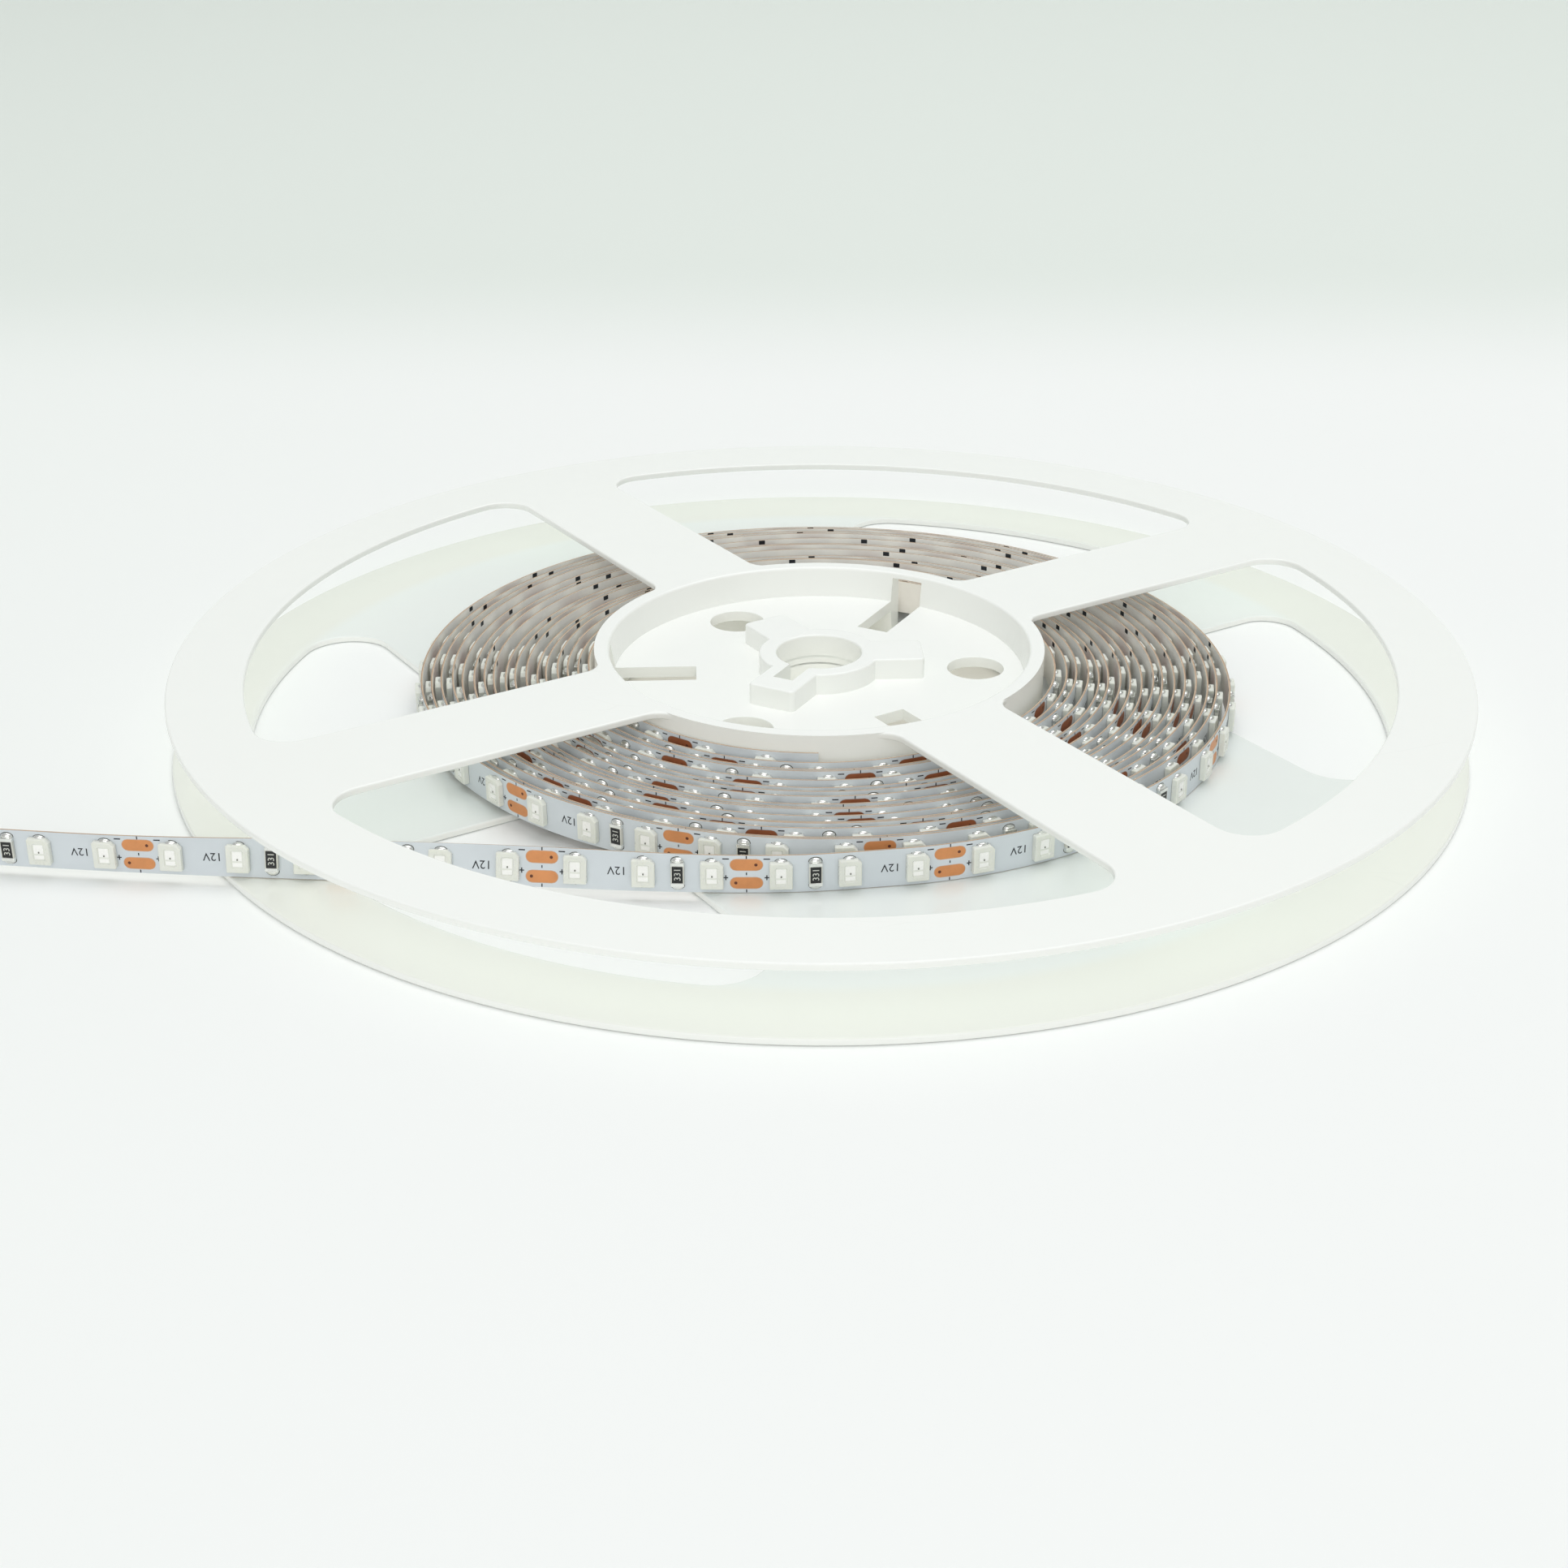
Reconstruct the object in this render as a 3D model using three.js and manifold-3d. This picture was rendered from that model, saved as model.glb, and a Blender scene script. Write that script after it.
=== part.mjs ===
// Reel of LED strip light: two moulded halves and the wound tape with its free end.
// Millimetres, +Z up. The reel lies flat: its underside is at z = 0.
// Each function works about the reel's axis. The last lines move the origin
// to the middle of the underside of the whole outline, free end included.

import * as THREE from 'three';
import { mergeGeometries, mergeVertices } from 'three/addons/utils/BufferGeometryUtils.js';
import Module from 'manifold-3d';

const wasm = await Module();
wasm.setup();

const degrees = Math.PI / 180;
const fullTurn = 2 * Math.PI;

// Flange
const flangeRadius = 90;
const flangeThickness = 1;
const ringWidth = 10.4;
const spokeCount = 4;
const spokeWidth = 17;
const spokeAngle = 33.2 * degrees;
const ringFillet = 4.8;
const hubFillet = 3;
const panelWidth = 86;
const panelFillet = 6.5;
const flangeGap = 8.4;

// Barrel and hub
const barrelRadius = 31.7;
const barrelWall = 2.1;
const barrelDraft = 0.7;
const rimChamfer = 0.4;
const webThickness = 0.8;
const pegHoleRadius = 4;
const pegHoleFromWall = 7.3;
const slotWidth = 4.8;
const slotLength = 12.2;
const slotRoof = 0.8;
const armCount = 3;
const bossRadius = 8.5;
const bossHeight = 3;
const armWidth = 7;
const armReach = 14.7;
const spindleHoleRadius = 6;
const keywayWidth = 3;
const keywayReach = 11;

// Tape
const tapeWidth = 5;
const tapeThickness = 0.25;
const cutLength = 25;
const ledsPerCut = 3;
const turns = 17;
const turnPitch = 1.51;
const windingSlack = 0.5;
const coilShift = new THREE.Vector2(0.3, 3.3);
const freeEndPull = 1.1;
const windingLift = 2.1;
const liftedTurns = 11;
const restClearance = 0.1;
const tailLean = 20 * degrees;
const leanFrom = 18;
const leanTo = 104;

// Parts on the tape
const ledLength = 2.8;
const ledWidth = 3.5;
const ledHeight = 0.8;
const ledChamfer = 0.5;
const ledWindowLength = 1.5;
const ledWindowWidth = 2.3;
const ledWindowDepth = 0.2;
const resistorLength = 1.6;
const resistorWidth = 3.2;
const resistorHeight = 0.55;
const terminalWidth = 0.5;
const terminalExtra = 0.06;
const solderGap = 0.05;
const separateSections = 14;
const joinedSections = 96;

// The free end, from where it leaves the coil out to its cut end, along X and Y.
const tailRoute = [[-11.1, -1.7], [-19, -2.1], [-30.8, -1.9], [-45.7, -0.9], [-70.8, 0.6], [-87.6, 1.7],
  [-100.4, 2.85], [-111.9, 4.1], [-118.7, 4.9]];
const releaseAngle = -80 * degrees;

// Fineness of the round shapes
const rimSegments = 72;
const barrelSegments = 48;
const holeSegments = 16;
const filletSegments = 3;
const windowSegments = 12;
const routeSteps = 6000;

// Sizes that follow
const halfHeight = flangeThickness + flangeGap / 2;
const windowOuter = flangeRadius - ringWidth;
const openingRadius = barrelRadius - barrelWall;
const armAngle = spokeAngle - 30 * degrees;
const turnOverAngle = spokeAngle + 90 * degrees;
const firstTurnRadius = barrelRadius + windingSlack;
const ledPitch = cutLength / ledsPerCut;
const overlap = 0.3;

const materials = {
  plastic: new THREE.MeshStandardMaterial({ color: 0xe9eee8, roughness: 0.4, metalness: 0 }),
  tape: new THREE.MeshStandardMaterial({ color: 0xb9c1c9, roughness: 0.45, metalness: 0 }),
  led: new THREE.MeshStandardMaterial({ color: 0xeceadb, roughness: 0.35, metalness: 0 }),
  resistor: new THREE.MeshStandardMaterial({ color: 0x191a1c, roughness: 0.35, metalness: 0 }),
};

// A closed geometry becomes a solid once it holds merged positions only.
function toSolid(geometry) {
  const plain = geometry.clone();
  plain.deleteAttribute('normal');
  plain.deleteAttribute('uv');
  const merged = mergeVertices(plain, 1e-5);
  return new wasm.Manifold(new wasm.Mesh({
    numProp: 3,
    vertProperties: new Float32Array(merged.attributes.position.array),
    triVerts: new Uint32Array(merged.index.array),
  }));
}

function toGeometry(solid) {
  const mesh = solid.getMesh();
  const geometry = new THREE.BufferGeometry();
  geometry.setAttribute('position', new THREE.BufferAttribute(mesh.vertProperties, 3));
  geometry.setIndex(new THREE.BufferAttribute(mesh.triVerts, 1));
  geometry.computeVertexNormals();
  return geometry;
}

function namedMesh(name, geometry, material) {
  const mesh = new THREE.Mesh(geometry, material);
  mesh.name = name;
  return mesh;
}

// Points along an arc, both ends included.
function arc(x, y, radius, from, to, steps) {
  const points = [];
  for (let i = 0; i <= steps; i += 1) {
    const angle = from + (to - from) * i / steps;
    points.push(new THREE.Vector2(x + radius * Math.cos(angle), y + radius * Math.sin(angle)));
  }
  return points;
}

function circle(x, y, radius, segments) {
  return arc(x, y, radius, 0, fullTurn * (1 - 1 / segments), segments - 1);
}

function turned(points, angle) {
  const centre = new THREE.Vector2(0, 0);
  return points.map((point) => point.clone().rotateAround(centre, angle));
}

function extruded(outline, holes, low, high) {
  const shape = new THREE.Shape(outline);
  shape.holes = holes.map((hole) => new THREE.Path(hole));
  const geometry = new THREE.ExtrudeGeometry(shape, { depth: high - low, bevelEnabled: false });
  geometry.translate(0, 0, low);
  return geometry;
}

function boxSolid(lowX, highX, lowY, highY, lowZ, highZ) {
  const geometry = new THREE.BoxGeometry(highX - lowX, highY - lowY, highZ - lowZ);
  geometry.translate((lowX + highX) / 2, (lowY + highY) / 2, (lowZ + highZ) / 2);
  return toSolid(geometry);
}

// Centre of a fillet between a circle about the axis and the edge of the spoke at +halfAngle.
function filletCentre(circleRadius, fillet, halfAngle) {
  const offset = spokeWidth / 2 + Math.abs(fillet);
  const reach = circleRadius + fillet;
  const along = Math.sqrt(reach * reach - offset * offset);
  return new THREE.Vector2(
    along * Math.cos(halfAngle) + offset * Math.sin(halfAngle),
    along * Math.sin(halfAngle) - offset * Math.cos(halfAngle),
  );
}

// Outline of the window between two spokes, with its middle on +X.
function windowOutline() {
  const halfAngle = Math.PI / spokeCount;
  const outer = filletCentre(windowOuter, -ringFillet, halfAngle);
  const inner = filletCentre(barrelRadius, hubFillet, halfAngle);
  const outerAngle = outer.angle();
  const innerAngle = inner.angle();
  const spokeSide = halfAngle + Math.PI / 2;
  const hiddenRadius = barrelRadius - overlap;
  return [
    ...arc(0, 0, windowOuter, -outerAngle, outerAngle, windowSegments),
    ...arc(outer.x, outer.y, ringFillet, outerAngle, spokeSide, filletSegments + 1).slice(1),
    ...arc(inner.x, inner.y, hubFillet, spokeSide, innerAngle + Math.PI, filletSegments),
    ...arc(0, 0, hiddenRadius, innerAngle, -innerAngle, windowSegments / 2),
    ...arc(inner.x, -inner.y, hubFillet, Math.PI - innerAngle, fullTurn - spokeSide, filletSegments),
    ...arc(outer.x, -outer.y, ringFillet, fullTurn - spokeSide, fullTurn - outerAngle, filletSegments + 1)
      .slice(0, -1),
  ];
}

// Windows of the upper flange, one between each two spokes.
function spokeWindows() {
  const windows = [];
  for (let i = 0; i < spokeCount; i += 1) {
    windows.push(turned(windowOutline(), spokeAngle + (i + 0.5) * fullTurn / spokeCount));
  }
  return windows;
}

// Outline of a window of the lower flange. Its spoke runs above it along +X, and the panel lies left of it along Y.
function panelWindowOutline() {
  const left = panelWidth / 2;
  const top = -spokeWidth / 2;
  const reach = windowOuter - panelFillet;
  const panelCorner = new THREE.Vector2(left + panelFillet, 0);
  panelCorner.y = -Math.sqrt(reach * reach - panelCorner.x * panelCorner.x);
  const spokeCorner = filletCentre(windowOuter, -ringFillet, 0);
  const lowAngle = panelCorner.angle();
  const highAngle = spokeCorner.angle();
  const up = fullTurn + Math.PI / 2;
  return [
    ...arc(0, 0, windowOuter, lowAngle, highAngle, windowSegments),
    ...arc(spokeCorner.x, spokeCorner.y, ringFillet, highAngle, up, filletSegments + 1).slice(1),
    ...arc(left + hubFillet, top - hubFillet, hubFillet, Math.PI / 2, Math.PI, filletSegments),
    ...arc(panelCorner.x, panelCorner.y, panelFillet, Math.PI, lowAngle, filletSegments + 1).slice(0, -1),
  ];
}

// Windows of the lower flange: a spoke parts the two on each side of its wide panel.
function panelWindows() {
  const outline = panelWindowOutline();
  const mirrored = outline.map((point) => new THREE.Vector2(point.x, -point.y)).reverse();
  return [outline, mirrored].flatMap((points) => [
    turned(points, spokeAngle),
    turned(points, spokeAngle + Math.PI),
  ]);
}

// Flange plate with its windows. The hole in the middle ends inside the barrel's wall.
function flangePlate(windows) {
  const holes = [circle(0, 0, barrelRadius - barrelWall / 2, barrelSegments), ...windows];
  return toSolid(extruded(circle(0, 0, flangeRadius, rimSegments), holes, 0, flangeThickness));
}

// Half of the winding barrel, drafted inside and chamfered at its open rim.
function barrel() {
  const floorRadius = openingRadius - barrelDraft;
  const profile = [[openingRadius + rimChamfer, 0], [barrelRadius, 0], [barrelRadius, halfHeight],
    [floorRadius, halfHeight], [openingRadius, rimChamfer], [openingRadius + rimChamfer, 0]];
  const points = profile.map(([radius, z]) => new THREE.Vector2(radius, z));
  const geometry = new THREE.LatheGeometry(points, barrelSegments);
  geometry.rotateX(Math.PI / 2);
  return toSolid(geometry);
}

// Web across the barrel with its peg holes and the spindle hole.
function hubWeb() {
  const pegHoleCircle = openingRadius - pegHoleFromWall;
  const holes = [circle(0, 0, spindleHoleRadius, barrelSegments / 2)];
  for (let i = 0; i < armCount; i += 1) {
    const angle = armAngle + i * fullTurn / armCount;
    const x = pegHoleCircle * Math.cos(angle);
    const y = pegHoleCircle * Math.sin(angle);
    holes.push(circle(x, y, pegHoleRadius, holeSegments));
  }
  const edge = openingRadius - barrelDraft + overlap;
  return toSolid(extruded(circle(0, 0, edge, barrelSegments), holes, halfHeight - webThickness, halfHeight));
}

// Three-armed boss around the spindle hole.
function boss() {
  const halfArm = armWidth / 2;
  const rootAngle = Math.asin(halfArm / bossRadius);
  const step = fullTurn / armCount;
  const outline = [];
  for (let i = 0; i < armCount; i += 1) {
    const arm = [new THREE.Vector2(armReach, -halfArm), new THREE.Vector2(armReach, halfArm)];
    const round = arc(0, 0, bossRadius, rootAngle, step - rootAngle, holeSegments / 4);
    outline.push(...turned([...arm, ...round], armAngle + i * step));
  }
  const top = halfHeight - webThickness - bossHeight;
  const hole = circle(0, 0, spindleHoleRadius, barrelSegments / 2);
  return toSolid(extruded(outline, [hole], top, halfHeight - webThickness / 2));
}

// Radial slots through the web and the barrel's wall, roofed over at the rim.
function slots() {
  const step = fullTurn / armCount;
  const cutters = [];
  for (let i = 0; i < armCount; i += 1) {
    const start = openingRadius - slotLength;
    const cutter = boxSolid(start, barrelRadius + overlap, -slotWidth / 2, slotWidth / 2,
      slotRoof, halfHeight + overlap);
    cutters.push(cutter.rotate([0, 0, (armAngle + (i + 0.5) * step) / degrees]));
  }
  return cutters;
}

// Keyway from the spindle hole into the first arm.
function keyway() {
  const cutter = boxSolid(0, keywayReach, -keywayWidth / 2, keywayWidth / 2, 0, halfHeight + overlap);
  return cutter.rotate([0, 0, armAngle / degrees]);
}

// One moulded half, outer face down at z = 0.
function reelHalf(windows) {
  let half = flangePlate(windows).add(barrel()).add(hubWeb()).add(boss());
  for (const cutter of slots()) {
    half = half.subtract(cutter);
  }
  return toGeometry(half.subtract(keyway()));
}

// Rises from 0 to 1 with level ends.
function smooth(value) {
  const x = Math.min(1, Math.max(0, value));
  return x * x * (3 - 2 * x);
}

// Middle of the tape at a winding position counted in turns from the barrel.
// The coil grows off the axis, away from the front, and the free end pulls the outermost turn back a little.
function coilPoint(turn) {
  const angle = -Math.PI / 2 + (turns - turn) * fullTurn;
  const radius = firstTurnRadius + turnPitch * turn;
  const share = turn / turns;
  const pulled = freeEndPull * smooth((turn - turns + 0.75) * 2);
  return new THREE.Vector3(
    coilShift.x * share + radius * Math.cos(angle),
    coilShift.y * share - pulled + radius * Math.sin(angle),
    coilLift(turn),
  );
}

// Height of the tape's lower edge: inner turns ride up the barrel, outer ones lie on the flange.
function coilLift(turn) {
  const share = Math.max(0, 1 - turn / liftedTurns);
  return flangeThickness + restClearance + windingLift * share * Math.sqrt(share);
}

// Lower edge of the tape from its free end to the barrel.
function tapeRoute() {
  const releaseTurn = turns - (releaseAngle + Math.PI / 2) / fullTurn;
  const release = coilPoint(releaseTurn);
  const tail = tailRoute.map(([x, y]) => new THREE.Vector3(release.x + x, release.y + y, release.z));
  const tailCurve = new THREE.CatmullRomCurve3([release, ...tail].reverse(), false, 'centripetal');
  const points = tailCurve.getPoints(routeSteps / 10);
  for (let i = 1; i <= routeSteps; i += 1) {
    points.push(coilPoint(releaseTurn * (1 - i / routeSteps)));
  }
  return points;
}

// Lets a point be looked up by its distance along the route.
function measured(points) {
  const distances = [0];
  for (let i = 1; i < points.length; i += 1) {
    distances.push(distances[i - 1] + points[i].distanceTo(points[i - 1]));
  }
  let index = 1;
  return {
    length: distances[distances.length - 1],
    at(distance) {
      while (index > 1 && distances[index - 1] > distance) index -= 1;
      while (index < points.length - 1 && distances[index] < distance) index += 1;
      const share = (distance - distances[index - 1]) / (distances[index] - distances[index - 1]);
      return points[index - 1].clone().lerp(points[index], share);
    },
  };
}

// Lean of the tape away from the front, at a distance from the free end.
function leanAt(distance) {
  const share = Math.min(1, Math.max(0, (distance - leanFrom) / (leanTo - leanFrom)));
  return tailLean * Math.sin(Math.PI * share) ** 2;
}

// Where the parts sit on a section that starts at a cut mark, by their middle.
function sectionLeds() {
  return Array.from({ length: ledsPerCut }, (_, i) => (i + 0.5) * ledPitch);
}

// The resistor lies after the first LED on even sections and before the last one on odd sections.
function sectionResistor(section) {
  return section % 2 === 0 ? ledPitch : cutLength - ledPitch;
}

// Both ends of the flat facet under a part. The tape keeps one lean under it.
function facetUnder(middle, length) {
  const lean = leanAt(middle);
  return [{ distance: middle - length / 2, lean }, { distance: middle + length / 2, lean }];
}

// Where the tape's flat facets meet on a section whose parts are separate pieces.
function fineEnds(section) {
  const start = section * cutLength;
  const ends = facetUnder(start + sectionResistor(section), resistorLength);
  for (const middle of sectionLeds()) {
    ends.push(...facetUnder(start + middle, ledLength));
  }
  return ends.sort((a, b) => a.distance - b.distance);
}

// Where the tape's flat facets meet, from the free end to the barrel.
// The inner turns have one facet for each LED.
function facetEnds(sections) {
  const ends = [{ distance: 0, lean: leanAt(0) }];
  for (let section = 0; section < separateSections; section += 1) {
    ends.push(...fineEnds(section));
  }
  for (let led = separateSections * ledsPerCut; led <= sections * ledsPerCut; led += 1) {
    ends.push({ distance: led * ledPitch, lean: 0 });
  }
  return ends;
}

// Frame of a facet between two points: along the tape, across it and out of its lit face.
function facetFrame(start, end, lean) {
  const along = end.clone().sub(start).setZ(0).normalize();
  const outward = new THREE.Vector3(along.y, -along.x, 0);
  const across = new THREE.Vector3(0, 0, Math.cos(lean)).addScaledVector(outward, -Math.sin(lean));
  const normal = new THREE.Vector3().crossVectors(along, across);
  return { along, across, normal };
}

// The bare tape: a thin upright band with one flat facet between two neighbouring ends.
function tapeBand(route, ends) {
  const points = ends.map((end) => route.at(end.distance));
  const positions = [];
  const faces = [];
  points.forEach((point, i) => {
    const first = Math.max(0, i - 1);
    const final = Math.min(i, points.length - 2);
    const before = facetFrame(points[first], points[first + 1], ends[i].lean);
    const after = facetFrame(points[final], points[final + 1], ends[i].lean);
    const normal = before.normal.clone().add(after.normal).normalize();
    const half = tapeThickness / 2 / normal.dot(after.normal);
    const across = before.across.clone().add(after.across).normalize();
    const top = point.clone().addScaledVector(across, tapeWidth);
    for (const [edge, side] of [[point, -half], [point, half], [top, half], [top, -half]]) {
      positions.push(...edge.clone().addScaledVector(normal, side).toArray());
    }
  });
  const last = (points.length - 1) * 4;
  for (let base = 0; base < last; base += 4) {
    for (let side = 0; side < 4; side += 1) {
      const a = base + side;
      const b = base + (side + 1) % 4;
      faces.push(a, a + 4, b, b, a + 4, b + 4);
    }
  }
  faces.push(0, 1, 2, 0, 2, 3, last, last + 2, last + 1, last, last + 3, last + 2);
  const geometry = new THREE.BufferGeometry();
  geometry.setAttribute('position', new THREE.Float32BufferAttribute(positions, 3));
  geometry.setIndex(faces);
  return geometry;
}

// Position and turn of a part whose middle is at a distance and whose ends are half a length away.
function seat(route, middle, length, raise) {
  const start = route.at(middle - length / 2);
  const end = route.at(middle + length / 2);
  const { along, across, normal } = facetFrame(start, end, leanAt(middle));
  const place = start.add(end).multiplyScalar(0.5)
    .addScaledVector(across, tapeWidth / 2)
    .addScaledVector(normal, tapeThickness / 2 + raise);
  return new THREE.Matrix4().makeBasis(along, across, normal).setPosition(place);
}

// The whole tape. On the outer turns past the separate sections each LED is a block joined to its facet.
function woundTape(route, sections) {
  const blocks = [];
  for (let section = separateSections; section < separateSections + joinedSections; section += 1) {
    for (const middle of sectionLeds()) {
      const depth = ledHeight + tapeThickness / 2;
      const block = new THREE.BoxGeometry(ledLength, ledWidth, depth);
      block.translate(0, 0, depth / 2 - tapeThickness / 2);
      block.applyMatrix4(seat(route, section * cutLength + middle, ledPitch, 0));
      blocks.push(block);
    }
  }
  const band = toSolid(tapeBand(route, facetEnds(sections)));
  return toGeometry(band.add(toSolid(mergeGeometries(blocks))));
}

// One LED, lit face up: a block with one cut corner and a shallow window.
function ledGeometry() {
  const x = ledLength / 2;
  const y = ledWidth / 2;
  const outline = [[-x, -y], [x, -y], [x, y - ledChamfer], [x - ledChamfer, y], [-x, y]];
  const body = extruded(outline.map(([px, py]) => new THREE.Vector2(px, py)), [], 0, ledHeight);
  const window = boxSolid(-ledWindowLength / 2, ledWindowLength / 2, -ledWindowWidth / 2, ledWindowWidth / 2,
    ledHeight - ledWindowDepth, ledHeight + overlap);
  return toGeometry(toSolid(body).subtract(window));
}

// One chip resistor: a body between two slightly thicker terminals.
function resistorGeometry() {
  const x = resistorLength / 2;
  const y = resistorWidth / 2;
  const bodyEnd = y - terminalWidth / 2;
  const body = boxSolid(-x, x, -bodyEnd, bodyEnd, terminalExtra / 2, resistorHeight);
  const wide = x + terminalExtra / 2;
  const lower = boxSolid(-wide, wide, -y, -y + terminalWidth, 0, resistorHeight + terminalExtra);
  const upper = boxSolid(-wide, wide, y - terminalWidth, y, 0, resistorHeight + terminalExtra);
  return toGeometry(body.add(lower).add(upper));
}

function place(mesh, matrix) {
  matrix.decompose(mesh.position, mesh.quaternion, mesh.scale);
}

function numbered(name, index) {
  return `${name}_${String(index + 1).padStart(2, '0')}`;
}

// LEDs of the first sections as pieces of their own.
function addLeds(group, route) {
  const geometry = ledGeometry();
  for (let section = 0; section < separateSections; section += 1) {
    sectionLeds().forEach((middle, i) => {
      const led = namedMesh(numbered('led', section * ledsPerCut + i), geometry, materials.led);
      place(led, seat(route, section * cutLength + middle, ledLength, solderGap));
      group.add(led);
    });
  }
}

// Resistors of the first sections as pieces of their own.
function addResistors(group, route) {
  const geometry = resistorGeometry();
  for (let section = 0; section < separateSections; section += 1) {
    const resistor = namedMesh(numbered('resistor', section), geometry, materials.resistor);
    const middle = section * cutLength + sectionResistor(section);
    place(resistor, seat(route, middle, resistorLength, solderGap));
    group.add(resistor);
  }
}

function addReelHalves(group) {
  group.add(namedMesh('lower_flange', reelHalf(panelWindows()), materials.plastic));
  const upper = namedMesh('upper_flange', reelHalf(spokeWindows()), materials.plastic);
  const hinge = new THREE.Vector3(Math.cos(turnOverAngle), Math.sin(turnOverAngle), 0);
  upper.quaternion.setFromAxisAngle(hinge, Math.PI);
  upper.position.z = 2 * halfHeight;
  group.add(upper);
}

function addTape(group) {
  const route = measured(tapeRoute());
  const sections = Math.floor(route.length / cutLength);
  group.add(namedMesh('led_tape', woundTape(route, sections), materials.tape));
  addLeds(group, route);
  addResistors(group, route);
}

// The origin is the middle of the underside of the whole outline.
function centred(group) {
  const box = new THREE.Box3().setFromObject(group, true);
  group.position.x = -(box.min.x + box.max.x) / 2;
  group.position.y = -(box.min.y + box.max.y) / 2;
  const whole = new THREE.Group();
  whole.add(group);
  return whole;
}

const reel = new THREE.Group();
addReelHalves(reel);
addTape(reel);

export default centred(reel);
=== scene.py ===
"""LED strip light reel, lying flat with the free end of its tape drawn out to the left.

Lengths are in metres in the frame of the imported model. The reel's axis is upright at X = AXIS_X.
"""

import math

import bpy
import mathutils
import numpy as np
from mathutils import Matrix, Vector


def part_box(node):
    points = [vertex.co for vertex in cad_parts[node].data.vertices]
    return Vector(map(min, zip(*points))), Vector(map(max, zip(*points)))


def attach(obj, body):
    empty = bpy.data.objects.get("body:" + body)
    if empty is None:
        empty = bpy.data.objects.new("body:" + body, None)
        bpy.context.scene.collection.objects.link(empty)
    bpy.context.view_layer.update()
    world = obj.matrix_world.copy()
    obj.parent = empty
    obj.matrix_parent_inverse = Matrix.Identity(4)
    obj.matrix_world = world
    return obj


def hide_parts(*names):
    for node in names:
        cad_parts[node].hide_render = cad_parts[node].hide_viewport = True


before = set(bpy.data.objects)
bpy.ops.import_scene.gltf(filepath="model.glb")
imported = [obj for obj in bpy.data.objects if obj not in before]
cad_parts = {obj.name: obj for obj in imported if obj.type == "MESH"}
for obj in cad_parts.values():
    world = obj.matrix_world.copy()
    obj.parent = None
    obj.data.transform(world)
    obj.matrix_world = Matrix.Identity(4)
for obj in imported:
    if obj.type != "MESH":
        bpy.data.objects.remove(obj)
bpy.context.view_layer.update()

bl_info = {
    "name": "LED strip light reel",
    "version": (1, 0, 0),
    "blender": (4, 5, 0),
    "location": "3D View > Sidebar > Strip Reel",
    "description": "Moulded reel, wound LED tape with its parts, and a pale studio",
    "category": "Object",
}

MM = 0.001
BODY = "root"
AXIS_X = sum(corner[0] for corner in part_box("lower_flange")) / 2


def tint(red, green, blue):
    """Linear colour from the three display values, each from 0 to 255."""
    values = np.array([red, green, blue]) / 255
    curved = ((values + 0.055) / 1.055) ** 2.4
    return tuple(float(v) for v in np.where(values > 0.04045, curved, values / 12.92))


def length(millimetres, description):
    """Length property with its default in millimetres."""
    return bpy.props.FloatProperty(
        description=description, default=millimetres * MM, min=0, precision=5, unit="LENGTH")


def angle(degrees, description):
    """Angle property with its default in degrees."""
    return bpy.props.FloatProperty(description=description, default=math.radians(degrees), subtype="ANGLE")


def colour(red, green, blue, description):
    """Colour property with its default as display values."""
    return bpy.props.FloatVectorProperty(
        description=description, default=tint(red, green, blue), size=3, min=0, max=1, subtype="COLOR")


def whole(number, description):
    """Whole number property, at least 1."""
    return bpy.props.IntProperty(description=description, default=number, min=1)


class ReelSizes(bpy.types.PropertyGroup):
    """Sizes of one moulded half of the reel."""

    flange_radius: length(90, "Outer radius of the flange")
    flange_thickness: length(1, "Thickness of ring and spokes")
    ring_width: length(10.4, "Width of the outer ring")
    spoke_width: length(17, "Width of a spoke")
    spoke_angle: angle(33.2, "Direction of the first spoke")
    ring_fillet: length(4.8, "Inside corner between spoke and ring")
    hub_fillet: length(3, "Inside corner between spoke and barrel")
    panel_width: length(86, "Width of the panel across the lower half")
    panel_fillet: length(6.5, "Inside corner between panel and ring")
    half_height: length(5.2, "From the outer face to the face where the halves meet")
    barrel_radius: length(31.7, "Radius that the tape is wound on")
    opening_radius: length(29.6, "Radius of the hub's opening")
    barrel_draft: length(0.7, "Narrowing of the hub down to its floor")
    web_thickness: length(0.8, "Thickness of the hub's floor")
    peg_hole_radius: length(4, "Radius of the round holes in the floor")
    peg_hole_circle: length(22.3, "Distance of the round holes from the axis")
    slot_width: length(4.8, "Width of the radial slots")
    slot_length: length(12.2, "Length of the slots inside the hub")
    slot_roof: length(0.8, "Wall left above a slot")
    boss_radius: length(8.5, "Radius of the boss between its arms")
    boss_height: length(3, "Height of the boss above the floor")
    arm_width: length(7, "Width of an arm of the boss")
    arm_reach: length(14.7, "Reach of an arm of the boss")
    arm_angle: angle(3.2, "Direction of the first arm")
    spindle_radius: length(6, "Radius of the middle hole")
    keyway_width: length(3, "Width of the notch beside the middle hole")
    keyway_reach: length(11, "Reach of the notch from the axis")
    edge_round: length(0.28, "Rounding of the moulded edges")


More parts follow.
